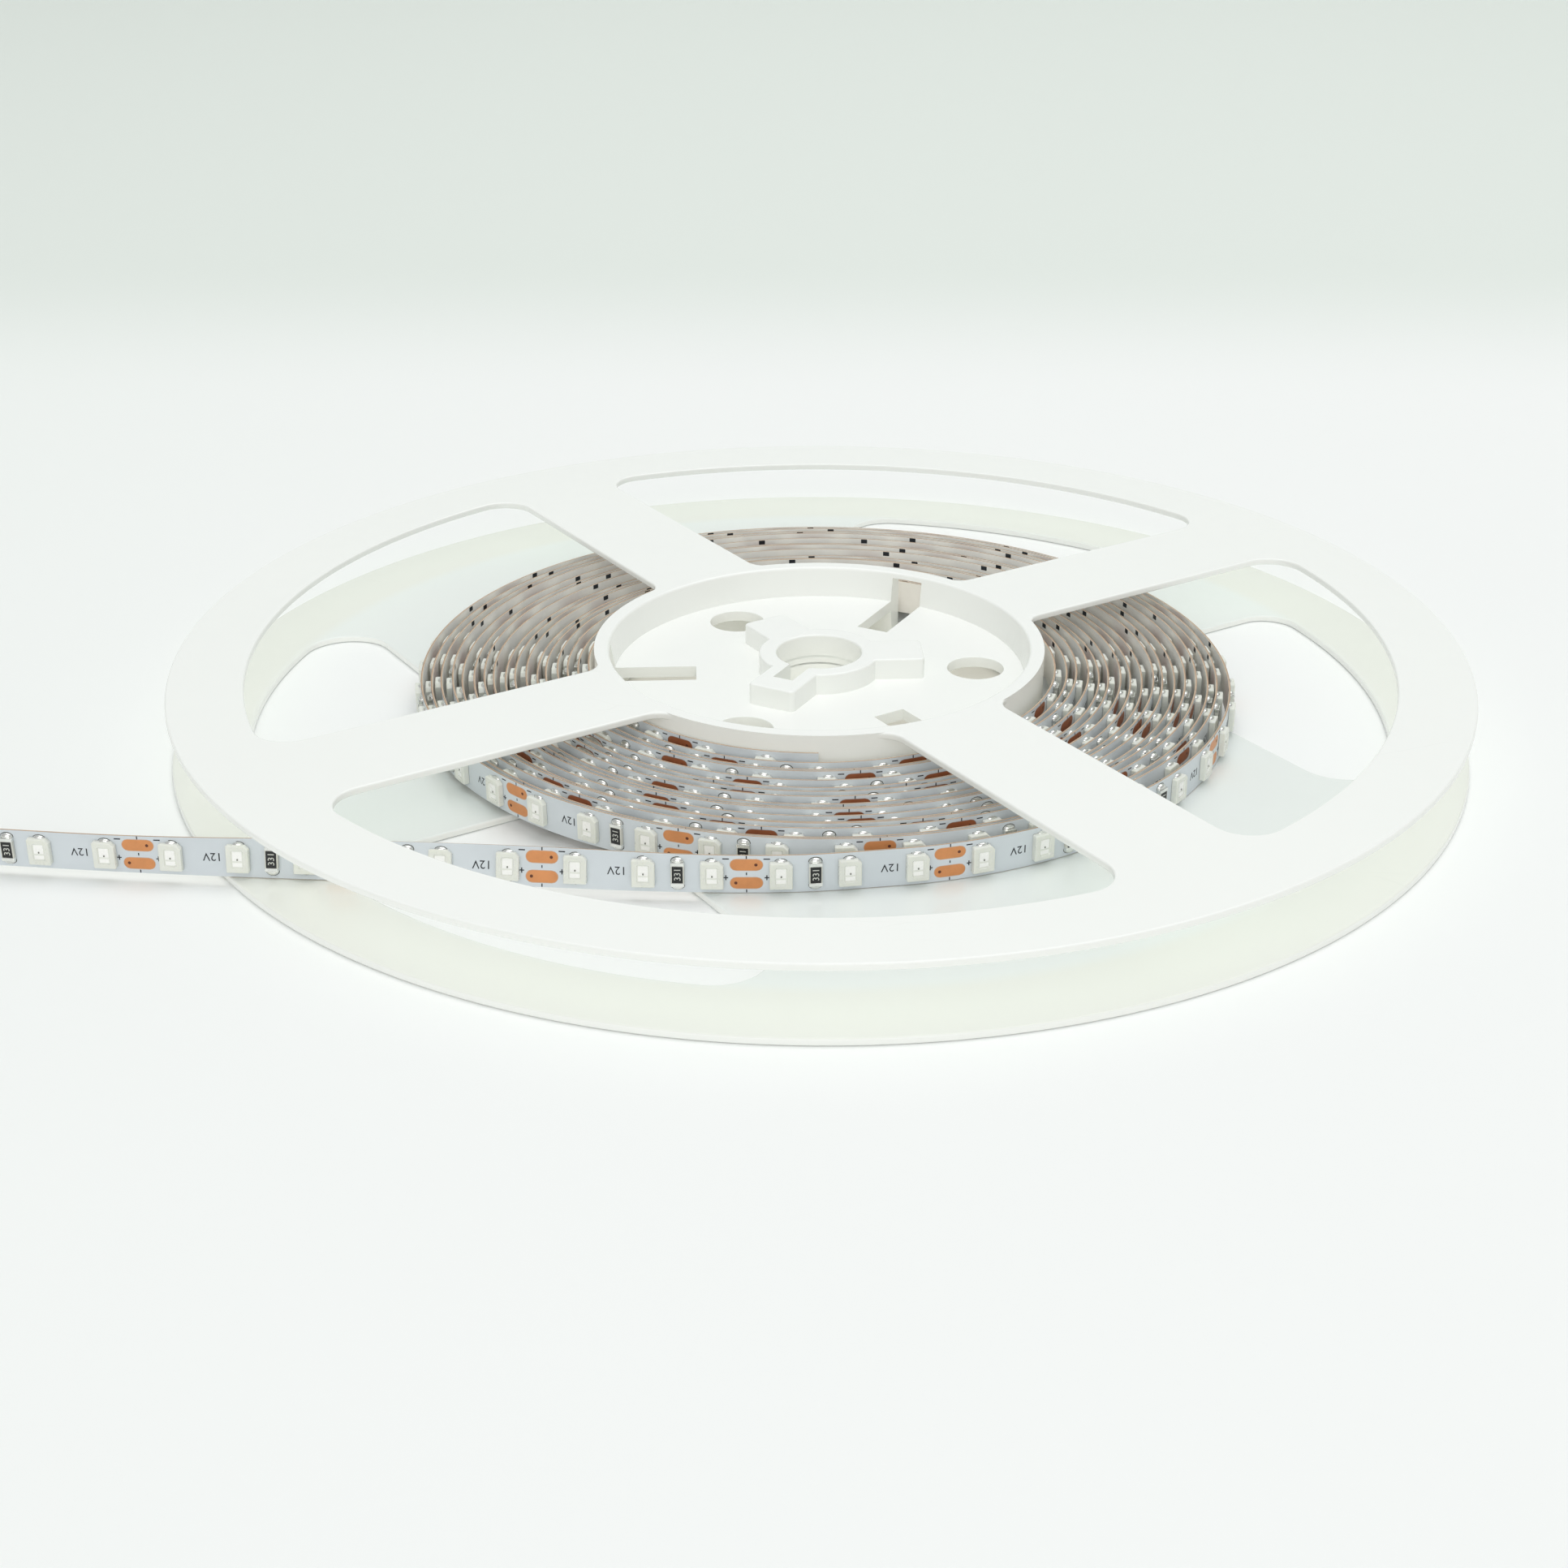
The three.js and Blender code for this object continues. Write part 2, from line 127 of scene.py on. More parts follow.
class TapeSizes(bpy.types.PropertyGroup):
    """Sizes of the tape and of its winding."""

    width: length(5, "Width of the tape")
    thickness: length(0.25, "Thickness of the tape with its backing")
    cut_length: length(25, "Distance between two cut marks")
    turns: whole(17, "Turns on the barrel")
    turn_pitch: length(1.51, "Growth of the coil with each turn")
    winding_slack: length(0.5, "Room between barrel and first turn")
    free_end_pull: length(1.1, "Shift of the last turn by the free end")
    winding_lift: length(2.1, "Height that the first turn rides up the barrel")
    lifted_turns: whole(11, "Turns off the flange")
    rest_clearance: length(0.1, "Room under the tape's lower edge")
    lean: angle(20, "Largest lean of the free end away from the front")
    lean_from: length(18, "Where the lean begins, from the free end")
    lean_to: length(104, "Where the lean ends, from the free end")
    led_length: length(2.8, "Size of an LED along the tape")
    led_width: length(3.5, "Size of an LED across the tape")
    led_height: length(0.8, "Height of an LED")
    resistor_length: length(1.6, "Size of a resistor along the tape")
    resistor_width: length(3.2, "Size of a resistor across the tape")
    resistor_height: length(0.55, "Height of a resistor")


class ReelColours(bpy.types.PropertyGroup):
    """Colours of the object and its stage."""

    plastic: colour(248, 250, 247, "Milky plastic of the reel")
    # Painted shade: both tones of the lower half are darker than the plastic, as under the upper half; the
    # ring's tone is warmer for light filtered through the upper ring.
    plastic_low_shaded: colour(234, 236, 229, "Milky plastic of the lower ring")
    plastic_panel_shaded: colour(234, 239, 236, "Milky plastic inside the lower ring")
    # Painted glow: the tone of walls and edges stands for light leaving the plastic through them.
    plastic_edge_glow: colour(246, 248, 243, "Milky plastic where light leaves its edges")
    tape_face: colour(213, 220, 224, "Coated face of the tape")
    tape_back: colour(248, 244, 236, "Paper backing of the tape")
    copper: colour(216, 146, 92, "Bare copper of the pads")
    # Painted shade: the pads inside the coil get this darker copper.
    copper_in_coil_shade: colour(150, 86, 50, "Shaded copper of the pads inside the coil")
    housing: colour(229, 231, 222, "Moulded housing of an LED")
    window: colour(234, 236, 227, "Clear filling of an LED's window")
    ceramic: colour(216, 216, 206, "Ceramic of a resistor")
    coat: colour(24, 26, 26, "Dark coat of a resistor")
    ink: colour(28, 32, 38, "Printed marks on the tape")
    floor: colour(246, 248, 247, "Studio floor")
    backdrop: colour(230, 236, 231, "Studio wall")


# Free end of the tape from where it leaves the coil, along X and Y in millimetres.
FREE_END = [(0, 0), (-11.1, -1.7), (-19, -2.1), (-30.8, -1.9), (-45.7, -0.9), (-70.8, 0.6), (-87.6, 1.7),
            (-100.4, 2.85), (-111.9, 4.1), (-118.7, 4.9)]
# Drift of the coil's middle from its first turn to its last.
COIL_SHIFT = (0.3 * MM, 3.3 * MM)
# Share of a turn that is missing where the free end leaves the coil.
RELEASE_SHARE = 10 / 360
LEDS_PER_CUT = 3
# Sections between two soldered joints of the tape.
JOINT_SECTIONS = 20
# Cut marks from the free end whose pads are bright; the pads further in get darker copper as painted shade
# of the coil.
BRIGHT_CUTS = 19
# Depth that shapes to be joined or cut reach past each other.
OVERLAP = 0.3 * MM
ROUTE_STEPS = 24000
# Half of the stretch over which the tape's direction is taken.
HALF_STEP = 0.4 * MM
# Middles of the upper and the lower pads, from the tape's middle.
PAD_ROWS = (1.27 * MM, -1.18 * MM)
PAD_LENGTH, PAD_WIDTH, PAD_RIM = 3.92 * MM, 1.48 * MM, 0.07 * MM


def smooth(value):
    """Rises from 0 to 1 as 3x^2 - 2x^3, level at both ends."""
    x = np.clip(value, 0, 1)
    return x * x * (3 - 2 * x)


class Route:
    """The tape's lower edge, looked up by the distance from the free end."""

    def __init__(self, reel, tape):
        self.tape = tape
        release = tape.turns - RELEASE_SHARE
        start = coil_points(np.array([release]), reel, tape)[0]
        knots = start + np.array([(x * MM, y * MM, 0) for x, y in reversed(FREE_END)])
        turn = release * (1 - np.arange(1, ROUTE_STEPS + 1) / ROUTE_STEPS)
        self.points = np.vstack([through(knots), coil_points(turn, reel, tape)])
        steps = np.linalg.norm(np.diff(self.points, axis=0), axis=1)
        self.distance = np.concatenate([[0], np.cumsum(steps)])
        self.length = float(self.distance[-1])
        self.sections = int(self.length / tape.cut_length)

    def at(self, distance):
        """Points of the lower edge by straight interpolation along the route."""
        return np.stack([np.interp(distance, self.distance, line) for line in self.points.T], axis=-1)

    def lean(self, distance):
        """Lean = largest lean times sin^2(pi * share), share from where it begins to where it ends."""
        tape = self.tape
        share = np.clip((distance - tape.lean_from) / (tape.lean_to - tape.lean_from), 0, 1)
        return tape.lean * np.sin(np.pi * share) ** 2

    def frames(self, distance, half):
        """Direction along the tape, across it and out of its lit face, from the points half a step away."""
        along = self.at(distance + half) - self.at(distance - half)
        along[..., 2] = 0
        along /= np.linalg.norm(along, axis=-1, keepdims=True)
        outward = np.stack([along[..., 1], -along[..., 0], np.zeros_like(along[..., 0])], axis=-1)
        lean = self.lean(distance)[..., None]
        across = np.array([0, 0, 1]) * np.cos(lean) - outward * np.sin(lean)
        return along, across, np.cross(along, across)

    def surface(self, distance, across, height):
        """Points at a distance along the tape, a way up its width and a height above its lit face."""
        _, up, normal = self.frames(distance, HALF_STEP)
        out = (height + self.tape.thickness / 2)[..., None]
        return self.at(distance) + up * across[..., None] + normal * out


def coil_points(turn, reel, tape):
    """Spiral: radius grows evenly with the turn, the centre drifts, the inner turns ride up the barrel."""
    bearing = -np.pi / 2 + (tape.turns - turn) * 2 * np.pi
    radius = reel.barrel_radius + tape.winding_slack + tape.turn_pitch * turn
    share = turn / tape.turns
    pulled = tape.free_end_pull * smooth((turn - tape.turns + 0.75) * 2)
    lift = tape.winding_lift * np.maximum(0, 1 - turn / tape.lifted_turns) ** 1.5
    inward, raised = wander(turn, tape)
    radius = radius - inward
    return np.stack([
        AXIS_X + COIL_SHIFT[0] * share + radius * np.cos(bearing),
        COIL_SHIFT[1] * share - pulled + radius * np.sin(bearing),
        reel.flange_thickness + tape.rest_clearance + lift + raised,
    ], axis=-1)


def wander(turn, tape):
    """Unevenness of hand winding, inwards and upwards: sums of sines of the turn.

    It fades out on the outermost turn and at the start. The inner turns are set a little lower and the outer
    ones higher, and none sinks into the flange. Sizes are in millimetres until the last line.
    """
    last_end, last_fade, first_fade = 0.45, 0.5, 0.8
    hold = smooth((tape.turns - last_end - turn) / last_fade) * smooth(turn / first_fade)
    inward = 0.11 * np.sin(2.42 * turn + 0.7) + 0.05 * np.sin(11.3 * turn)
    inner_level, outer_gain, change_from, change_turns = -0.28, 0.66, 6.5, 5
    level = inner_level + outer_gain * smooth((turn - change_from) / change_turns)
    raised = level + 0.3 * np.sin(2 * np.pi * turn / 3.4 + 1.9) + 0.05 * np.sin(9.1 * turn)
    lowest = -0.05 - 1.9 * np.maximum(0, 1 - turn / tape.lifted_turns)
    return hold * inward * MM, hold * np.maximum(raised, lowest) * MM


def through(knots, steps=60):
    """Centripetal Catmull-Rom curve: knots lie the square root of their distance apart, cubics between."""
    ends = np.vstack([2 * knots[0] - knots[1], knots, 2 * knots[-1] - knots[-2]])
    gaps = np.sqrt(np.linalg.norm(np.diff(ends, axis=0), axis=1))[:, None]
    before, start, end, after = ends[:-3], ends[1:-2], ends[2:-1], ends[3:]
    gap_before, gap, gap_after = gaps[:-2], gaps[1:-1], gaps[2:]
    leave = (start - before) / gap_before - (end - before) / (gap_before + gap) + (end - start) / gap
    arrive = (end - start) / gap - (after - start) / (gap + gap_after) + (after - end) / gap_after
    start, end = start[:, None], end[:, None]
    leave, arrive = (leave * gap)[:, None], (arrive * gap)[:, None]
    u = (np.arange(steps) / steps)[None, :, None]
    curve = start + leave * u + (3 * (end - start) - 2 * leave - arrive) * u ** 2
    curve = curve + (2 * (start - end) + leave + arrive) * u ** 3
    return np.vstack([curve.reshape(-1, 3), knots[-1:]])


def settings():
    """The three property groups on the scene."""
    scene = bpy.context.scene
    return scene.reel_sizes, scene.tape_sizes, scene.reel_colours


# Meshes


def new_piece(name, points, face_sets, materials, picks=None, uv=None, flat_above=None):
    """Mesh object from points and arrays of faces. picks holds one material number for each face."""
    mesh = bpy.data.meshes.new(name)
    mesh.from_pydata(points.tolist(), [], [row for faces in face_sets for row in faces.tolist()])
    for material in materials:
        mesh.materials.append(material)
    if picks is not None:
        mesh.polygons.foreach_set("material_index", np.asarray(picks, dtype=np.int32))
    if uv is not None:
        layer = mesh.uv_layers.new(name="along_and_across")
        layer.data.foreach_set("uv", np.asarray(uv, dtype=np.float32).ravel())
    mesh.shade_smooth()
    if flat_above is not None:
        mesh.set_sharp_from_angle(angle=math.radians(flat_above))
    return shown(name, mesh)


def shown(name, mesh):
    """New object in the scene with a mesh."""
    mesh.update()
    piece = bpy.data.objects.new(name, mesh)
    bpy.context.scene.collection.objects.link(piece)
    return piece


def settle(piece, slot, *nodes):
    """Makes the piece ride on the reel and lets it stand for its CAD nodes. The slot is not used."""
    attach(piece, BODY)
    if nodes:
        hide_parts(*nodes)


def arc(x, y, radius, start, end, steps):
    """Points on a circle round (x, y) at even angles, both ends included."""
    bearing = np.linspace(start, end, steps + 1)
    return np.stack([x + radius * np.cos(bearing), y + radius * np.sin(bearing)], axis=1)


def circle(x, y, radius, steps, clockwise=False):
    """Closed loop of points on a circle."""
    loop = arc(x, y, radius, 0, 2 * np.pi, steps)[:-1]
    return loop[::-1] if clockwise else loop


def turned(points, bearing):
    """Points turned about the axis."""
    cosine, sine = math.cos(bearing), math.sin(bearing)
    return points @ np.array([[cosine, sine], [-sine, cosine]])


def inset(loop, depth):
    """Loop moved to its left by a depth: each point goes along the sum of its two edge normals."""
    edge = np.roll(loop, -1, axis=0) - loop
    edge /= np.linalg.norm(edge, axis=1, keepdims=True)
    right = np.stack([edge[:, 1], -edge[:, 0]], axis=1)
    before = np.roll(right, 1, axis=0)
    share = 1 + (right * before).sum(axis=1, keepdims=True)
    return loop - depth * (right + before) / share


def swept_rows(rows, width, ring=False):
    """Quads between neighbouring rows of points, each row closed on itself. In a ring the rows close too."""
    i = np.arange(rows if ring else rows - 1)[:, None]
    j = np.arange(width)[None, :]
    here, there = i * width, ((i + 1) % rows) * width
    after = (j + 1) % width
    return np.stack([here + j, here + after, there + after, there + j], axis=-1).reshape(-1, 4)


def filled(loops):
    """Triangles that fill the area between flat loops: outer loops run left about it, holes run right."""
    points = np.vstack(loops)
    starts = np.cumsum([0] + [len(loop) for loop in loops])
    edges = []
    for loop, start in zip(loops, starts):
        index = np.arange(len(loop))
        edges.append(np.stack([index, (index + 1) % len(loop)], axis=1) + start)
    edges = np.vstack(edges)
    _, _, faces, sources, _, _ = mathutils.geometry.delaunay_2d_cdt(
        [mathutils.Vector(point) for point in points.tolist()], edges.tolist(), [], 0, 1e-9)
    first = np.array([source[0] if source else -1 for source in sources])
    triangles = first[np.array(faces)]
    middle = points[triangles].mean(axis=1)
    a, b = points[edges[:, 0]], points[edges[:, 1]]
    above = (a[None, :, 1] > middle[:, None, 1]) != (b[None, :, 1] > middle[:, None, 1])
    rise = np.where(b[:, 1] == a[:, 1], 1e-12, b[:, 1] - a[:, 1])
    cross_x = a[:, 0] + (middle[:, None, 1] - a[:, 1]) * (b[:, 0] - a[:, 0]) / rise
    inside = ((above & (cross_x > middle[:, None, 0])).sum(axis=1) % 2) == 1
    triangles = triangles[inside]
    corner = points[triangles[:, 0]]
    u, v = points[triangles[:, 1]] - corner, points[triangles[:, 2]] - corner
    backward = u[:, 0] * v[:, 1] - u[:, 1] * v[:, 0] < 0
    triangles[backward] = triangles[backward][:, ::-1]
    return triangles


def rounded_profile(low, high, low_round, high_round, steps=4):
    """Insets and heights of a wall from a low to a high face, with quarter rounds at both ends."""
    quarter = np.linspace(0, np.pi / 2, steps + 1)
    rows = []
    for face, radius, side, turn in ((low, low_round, 1, quarter), (high, high_round, -1, quarter[::-1])):
        if radius:
            inwards, along = radius * (1 - np.sin(turn)), radius * (1 - np.cos(turn))
            rows.append(np.stack([inwards, face + side * along], axis=1))
        else:
            rows.append(np.array([[0, face]]))
    return np.vstack(rows)


def lifted(loop, height):
    """Flat loop as points at a height."""
    return np.column_stack([loop, np.full(len(loop), height)])


def slab(loops, profile):
    """Closed plate: the profile is carried round each loop and both faces are filled."""
    points, faces, lows, highs = [], [], [], []
    offset = 0
    for loop in loops:
        rows = np.stack([lifted(inset(loop, depth), z) for depth, z in profile])
        faces.append(swept_rows(len(profile), len(loop)) + offset)
        index = np.arange(len(loop)) + offset
        lows.append((rows[0, :, :2], index))
        highs.append((rows[-1, :, :2], index + (len(profile) - 1) * len(loop)))
        points.append(rows.reshape(-1, 3))
        offset += rows.shape[0] * rows.shape[1]
    low = np.concatenate([index for _, index in lows])[filled([loop for loop, _ in lows])][:, ::-1]
    high = np.concatenate([index for _, index in highs])[filled([loop for loop, _ in highs])]
    return np.vstack(points), [np.vstack(faces), np.vstack([low, high])]


def lathe(profile, steps):
    """Closed ring: a closed profile of radii and heights carried round the axis."""
    bearing = np.arange(steps) * 2 * np.pi / steps
    radius, height = profile[:, :1], profile[:, 1:]
    heights = np.repeat(height, steps, axis=1)
    points = np.stack([radius * np.cos(bearing), radius * np.sin(bearing), heights], axis=-1)
    return points.reshape(-1, 3), [swept_rows(len(profile), steps, ring=True)]


def block(low_x, high_x, low_y, high_y, low_z, high_z, bearing):
    """Box given by its limits, turned about the axis."""
    loop = np.array([[low_x, low_y], [high_x, low_y], [high_x, high_y], [low_x, high_y]])
    return slab([turned(loop, bearing)], np.array([[0, low_z], [0, high_z]]))


# Moulded reel


def fillet_centre(circle_radius, fillet, half_angle, spoke_width):
    """Centre of a round that touches a circle about the axis and the edge of a spoke."""
    offset = spoke_width / 2 + abs(fillet)
    reach = circle_radius + fillet
    along = math.sqrt(reach * reach - offset * offset)
    return (along * math.cos(half_angle) + offset * math.sin(half_angle),
            along * math.sin(half_angle) - offset * math.cos(half_angle))


def window_loop(reel):
    """Outline of a window with its middle on +X: ring arc, rounds, spoke edges, rounds, hidden arc."""
    half = math.pi / 4
    outer_radius = reel.flange_radius - reel.ring_width
    hidden = reel.barrel_radius - OVERLAP
    ox, oy = fillet_centre(outer_radius, -reel.ring_fillet, half, reel.spoke_width)
    ix, iy = fillet_centre(reel.barrel_radius, reel.hub_fillet, half, reel.spoke_width)
    outer, inner, side = math.atan2(oy, ox), math.atan2(iy, ix), half + math.pi / 2
    return np.vstack([
        arc(0, 0, outer_radius, -outer, outer, 60),
        arc(ox, oy, reel.ring_fillet, outer, side, 14)[1:],
        arc(ix, iy, reel.hub_fillet, side, inner + math.pi, 9),
        arc(0, 0, hidden, inner, -inner, 16),
        arc(ix, -iy, reel.hub_fillet, math.pi - inner, 2 * math.pi - side, 9),
        arc(ox, -oy, reel.ring_fillet, 2 * math.pi - side, 2 * math.pi - outer, 14)[:-1],
    ])


def spoke_windows(reel):
    """Windows of the upper half, one between each two spokes."""
    return [turned(window_loop(reel), reel.spoke_angle + (i + 0.5) * math.pi / 2) for i in range(4)]


def panel_window_loop(reel):
    """Outline of a window under the spoke on +X: ring arc, round, spoke edge, round, panel edge, round."""
    left, top = reel.panel_width / 2, -reel.spoke_width / 2
    outer_radius = reel.flange_radius - reel.ring_width
    px = left + reel.panel_fillet
    py = -math.sqrt((outer_radius - reel.panel_fillet) ** 2 - px ** 2)
    sx, sy = fillet_centre(outer_radius, -reel.ring_fillet, 0, reel.spoke_width)
    low, high = math.atan2(py, px), math.atan2(sy, sx)
    return np.vstack([
        arc(0, 0, outer_radius, low, high, 60),
        arc(sx, sy, reel.ring_fillet, high, math.pi / 2, 14)[1:],
        arc(left + reel.hub_fillet, top - reel.hub_fillet, reel.hub_fillet, math.pi / 2, math.pi, 9),
        arc(px, py, reel.panel_fillet, math.pi, 2 * math.pi + low, 18)[:-1],
    ])


def panel_windows(reel):
    """Windows of the lower half: a spoke parts the two on each side of its wide panel."""
    loop = panel_window_loop(reel)
    mirrored = (loop * np.array([1, -1]))[::-1]
    return [turned(shape, reel.spoke_angle + turn) for shape in (loop, mirrored) for turn in (0, math.pi)]


def flange_plate(reel, windows):
    """Flange with its windows and rounded edges."""
    middle_hole = reel.barrel_radius - 1.05 * MM
    loops = [circle(0, 0, reel.flange_radius, 288), circle(0, 0, middle_hole, 144, clockwise=True)]
    loops += [window[::-1] for window in windows]
    return slab(loops, rounded_profile(0, reel.flange_thickness, reel.edge_round, reel.edge_round))


def barrel_ring(reel):
    """Half of the winding barrel: drafted inside, with a softly rounded rim."""
    soft, wall, high = 0.45 * MM, reel.barrel_radius, reel.half_height
    rim = arc(reel.opening_radius + soft, soft, soft, np.pi, 1.5 * np.pi, 5)
    profile = np.vstack([rim, [[wall, 0], [wall, high], [reel.opening_radius - reel.barrel_draft, high]]])
    return lathe(profile, 144)


def hub_web(reel):
    """Floor of the hub with its round holes."""
    loops = [circle(0, 0, reel.opening_radius - reel.barrel_draft + OVERLAP, 144),
             circle(0, 0, reel.spindle_radius, 72, clockwise=True)]
    for i in range(3):
        bearing = reel.arm_angle + i * 2 * math.pi / 3
        x, y = reel.peg_hole_circle * math.cos(bearing), reel.peg_hole_circle * math.sin(bearing)
        loops.append(circle(x, y, reel.peg_hole_radius, 48, clockwise=True))
    low = reel.half_height - reel.web_thickness
    return slab(loops, rounded_profile(low, reel.half_height, 0.12 * MM, 0, steps=3))


def boss(reel):
    """Three-armed boss round the middle hole, its top edge rounded."""
    half = reel.arm_width / 2
    root, step, corner = math.asin(half / reel.boss_radius), 2 * math.pi / 3, 0.7 * MM
    parts = []
    for i in range(3):
        arm = np.vstack([
            arc(reel.arm_reach - corner, corner - half, corner, -math.pi / 2, 0, 4),
            arc(reel.arm_reach - corner, half - corner, corner, 0, math.pi / 2, 4),
            arc(0, 0, reel.boss_radius, root, step - root, 18),
        ])
        parts.append(turned(arm, reel.arm_angle + i * step))
    top, sunk, soft = reel.half_height - reel.web_thickness - reel.boss_height, 0.4 * MM, 0.3 * MM
    hole = circle(0, 0, reel.spindle_radius, 72, clockwise=True)
    return slab([np.vstack(parts), hole], rounded_profile(top, top + reel.boss_height + sunk, soft, 0))


def cutters(reel):
    """Three radial slots through floor and barrel, and the keyway in the first arm."""
    shapes = []
    for i in range(3):
        bearing = reel.arm_angle + (i + 0.5) * 2 * math.pi / 3
        shapes.append(block(
            reel.opening_radius - reel.slot_length, reel.barrel_radius + OVERLAP, -reel.slot_width / 2,
            reel.slot_width / 2, reel.slot_roof, reel.half_height + OVERLAP, bearing))
    shapes.append(block(0, reel.keyway_reach, -reel.keyway_width / 2, reel.keyway_width / 2, -OVERLAP,
                        reel.half_height + OVERLAP, reel.arm_angle))
    return shapes


def joined_half(reel, windows):
    """One moulded half as a single closed surface: the parts joined, the slots and keyway taken out."""
    base = new_piece("half_base", *flange_plate(reel, windows), [])
    steps = [("UNION", shape) for shape in (barrel_ring(reel), hub_web(reel), boss(reel))]
    steps += [("DIFFERENCE", shape) for shape in cutters(reel)]
    spent = [base]
    for i, (operation, shape) in enumerate(steps):
        other = new_piece(f"half_step_{i}", *shape, [])
        modifier = base.modifiers.new(operation.lower(), "BOOLEAN")
        modifier.operation, modifier.object, modifier.solver = operation, other, "EXACT"
        spent.append(other)
    bpy.context.view_layer.update()
    mesh = bpy.data.meshes.new_from_object(base.evaluated_get(bpy.context.evaluated_depsgraph_get()))
    for piece in spent:
        old = piece.data
        bpy.data.objects.remove(piece)
        bpy.data.meshes.remove(old)
    return mesh


def turned_over(points, reel):
    """Half turn about the flat line at right angles to the first spoke, raised to lie on the other half."""
    bearing = reel.spoke_angle + math.pi / 2
    line = np.array([math.cos(bearing), math.sin(bearing), 0])
    moved = 2 * (points @ line)[:, None] * line - points
    return moved + np.array([0, 0, 2 * reel.half_height])


def mesh_points(mesh):
    """Points of a mesh as an array."""
    points = np.zeros(len(mesh.vertices) * 3, dtype=np.float32)
    mesh.vertices.foreach_get("co", points)
    return points.reshape(-1, 3).astype(np.float64)


def half_piece(name, mesh, points, material):
    """Object with a moved copy of the half's mesh, smooth over its rounds and flat on its faces."""
    mesh.vertices.foreach_set("co", (points + np.array([AXIS_X, 0, 0])).astype(np.float32).ravel())
    mesh.materials.clear()
    mesh.materials.append(material)
    mesh.polygons.foreach_set("use_smooth", np.ones(len(mesh.polygons), dtype=bool))
    mesh.set_sharp_from_angle(angle=math.radians(38))
    piece = shown(name, mesh)
    weighted = piece.modifiers.new("even_faces", "WEIGHTED_NORMAL")
    weighted.keep_sharp = True
    return piece


# Parts on the tape


def cut_rectangle(half_x, half_y, cuts):
    """Loop of eight points: a rectangle with a cut at each corner, from the lower left one round."""
    a, b, c, d = cuts
    return np.array([
        [-half_x, -half_y + a], [-half_x + a, -half_y], [half_x - b, -half_y], [half_x, -half_y + b],
        [half_x, half_y - c], [half_x - c, half_y], [-half_x + d, half_y], [-half_x, half_y - d]])


class Template:
    """A part's points, quads and material numbers, ready to be set down many times."""

    def __init__(self):
        self.points = np.zeros((0, 3))
        self.faces = np.zeros((0, 4), dtype=int)
        self.picks = np.zeros(0, dtype=int)

    def add_stack(self, levels, wall_picks, top_pick):
        """Adds a closed solid through loops at given heights: quads between them, strips over both ends.

        wall_picks holds a material number for each wall between two levels.
        """
        rows, width = len(levels), len(levels[0][0])
        strips = np.stack([[i, i + 1, width - 2 - i, width - 1 - i] for i in range(width // 2 - 1)])
        faces = np.vstack([swept_rows(rows, width), strips[:, ::-1], strips + (rows - 1) * width])
        self.faces = np.vstack([self.faces, faces + len(self.points)])
        self.points = np.vstack([self.points] + [lifted(loop, z) for loop, z in levels])
        end_picks = np.repeat([wall_picks[0], top_pick], len(strips))
        self.picks = np.concatenate([self.picks, np.repeat(wall_picks, width), end_picks])

    def add_dome(self, middle, half_x, half_y, height, picks, steps, rim):
        """Adds a half ellipsoid: x = a cos t r, y = b sin t r, z = h sqrt(1 - r^2), on a thin dark skirt of
        painted reflection and shade.
        """
        skirt, metal, dark = 0.012 * MM, picks[0], picks[1]
        bearing = np.arange(steps) * 2 * np.pi / steps
        direction = np.stack([np.cos(bearing), np.sin(bearing)], axis=1)
        ring = direction * np.array([half_x, half_y])
        outer = ring + direction * rim
        levels = [(outer + middle, 0.0), (outer + middle, skirt)]
        for share in (1.0, 0.95, 0.78, 0.45):
            levels.append((ring * share + middle, height * math.sqrt(1 - share ** 2) + skirt))
        self.add_stack(levels, [dark] * 2 + [metal] * (len(levels) - 3), metal)


def led_template(tape):
    """LED: bevelled housing with one cut corner, a recessed window, two pads and a chip."""
    x, y, high = tape.led_length / 2, tape.led_width / 2, tape.led_height
    bevel, cuts = 0.09 * MM, np.array([0.1, 0.1, 0.5, 0.1]) * MM
    wx, wy, slope, soft = 0.78 * MM, 1.18 * MM, 0.1 * MM, np.array([0.16] * 4) * MM
    part = Template()
    part.add_stack([
        (cut_rectangle(x, y, cuts), 0),
        (cut_rectangle(x, y, cuts), high - bevel),
        (cut_rectangle(x - bevel, y - bevel, cuts), high),
        (cut_rectangle(wx, wy, soft), high),
        (cut_rectangle(wx - slope, wy - slope, soft), high - 0.17 * MM),
    ], [0, 0, 0, 1], 1)
    floor = high - 0.172 * MM
    square = np.array([0.03] * 4) * MM
    for middle_y, half_y in ((0.38 * MM, 0.6 * MM), (-0.72 * MM, 0.26 * MM)):
        loop = cut_rectangle(0.6 * MM, half_y, square) + np.array([0, middle_y])
        part.add_stack([(loop, floor), (loop, floor + 0.03 * MM)], [2], 2)
    chip = cut_rectangle(0.09 * MM, 0.11 * MM, square) + np.array([0.02 * MM, -0.05 * MM])
    part.add_stack([(chip, floor), (chip, floor + 0.09 * MM)], [3], 3)
    return part


def led_solder_template(tape):
    """Solder at both ends of an LED: low domes half under the housing, each on a dark rim of painted
    reflection and shade.
    """
    part = Template()
    end = tape.led_width / 2
    for middle, half_y, height in ((end - 0.1 * MM, 0.42, 0.44), (-end + 0.2 * MM, 0.38, 0.34)):
        part.add_dome(np.array([0, middle]), 0.78 * MM, half_y * MM, height * MM, (0, 1), 12, 0.06 * MM)
    return part


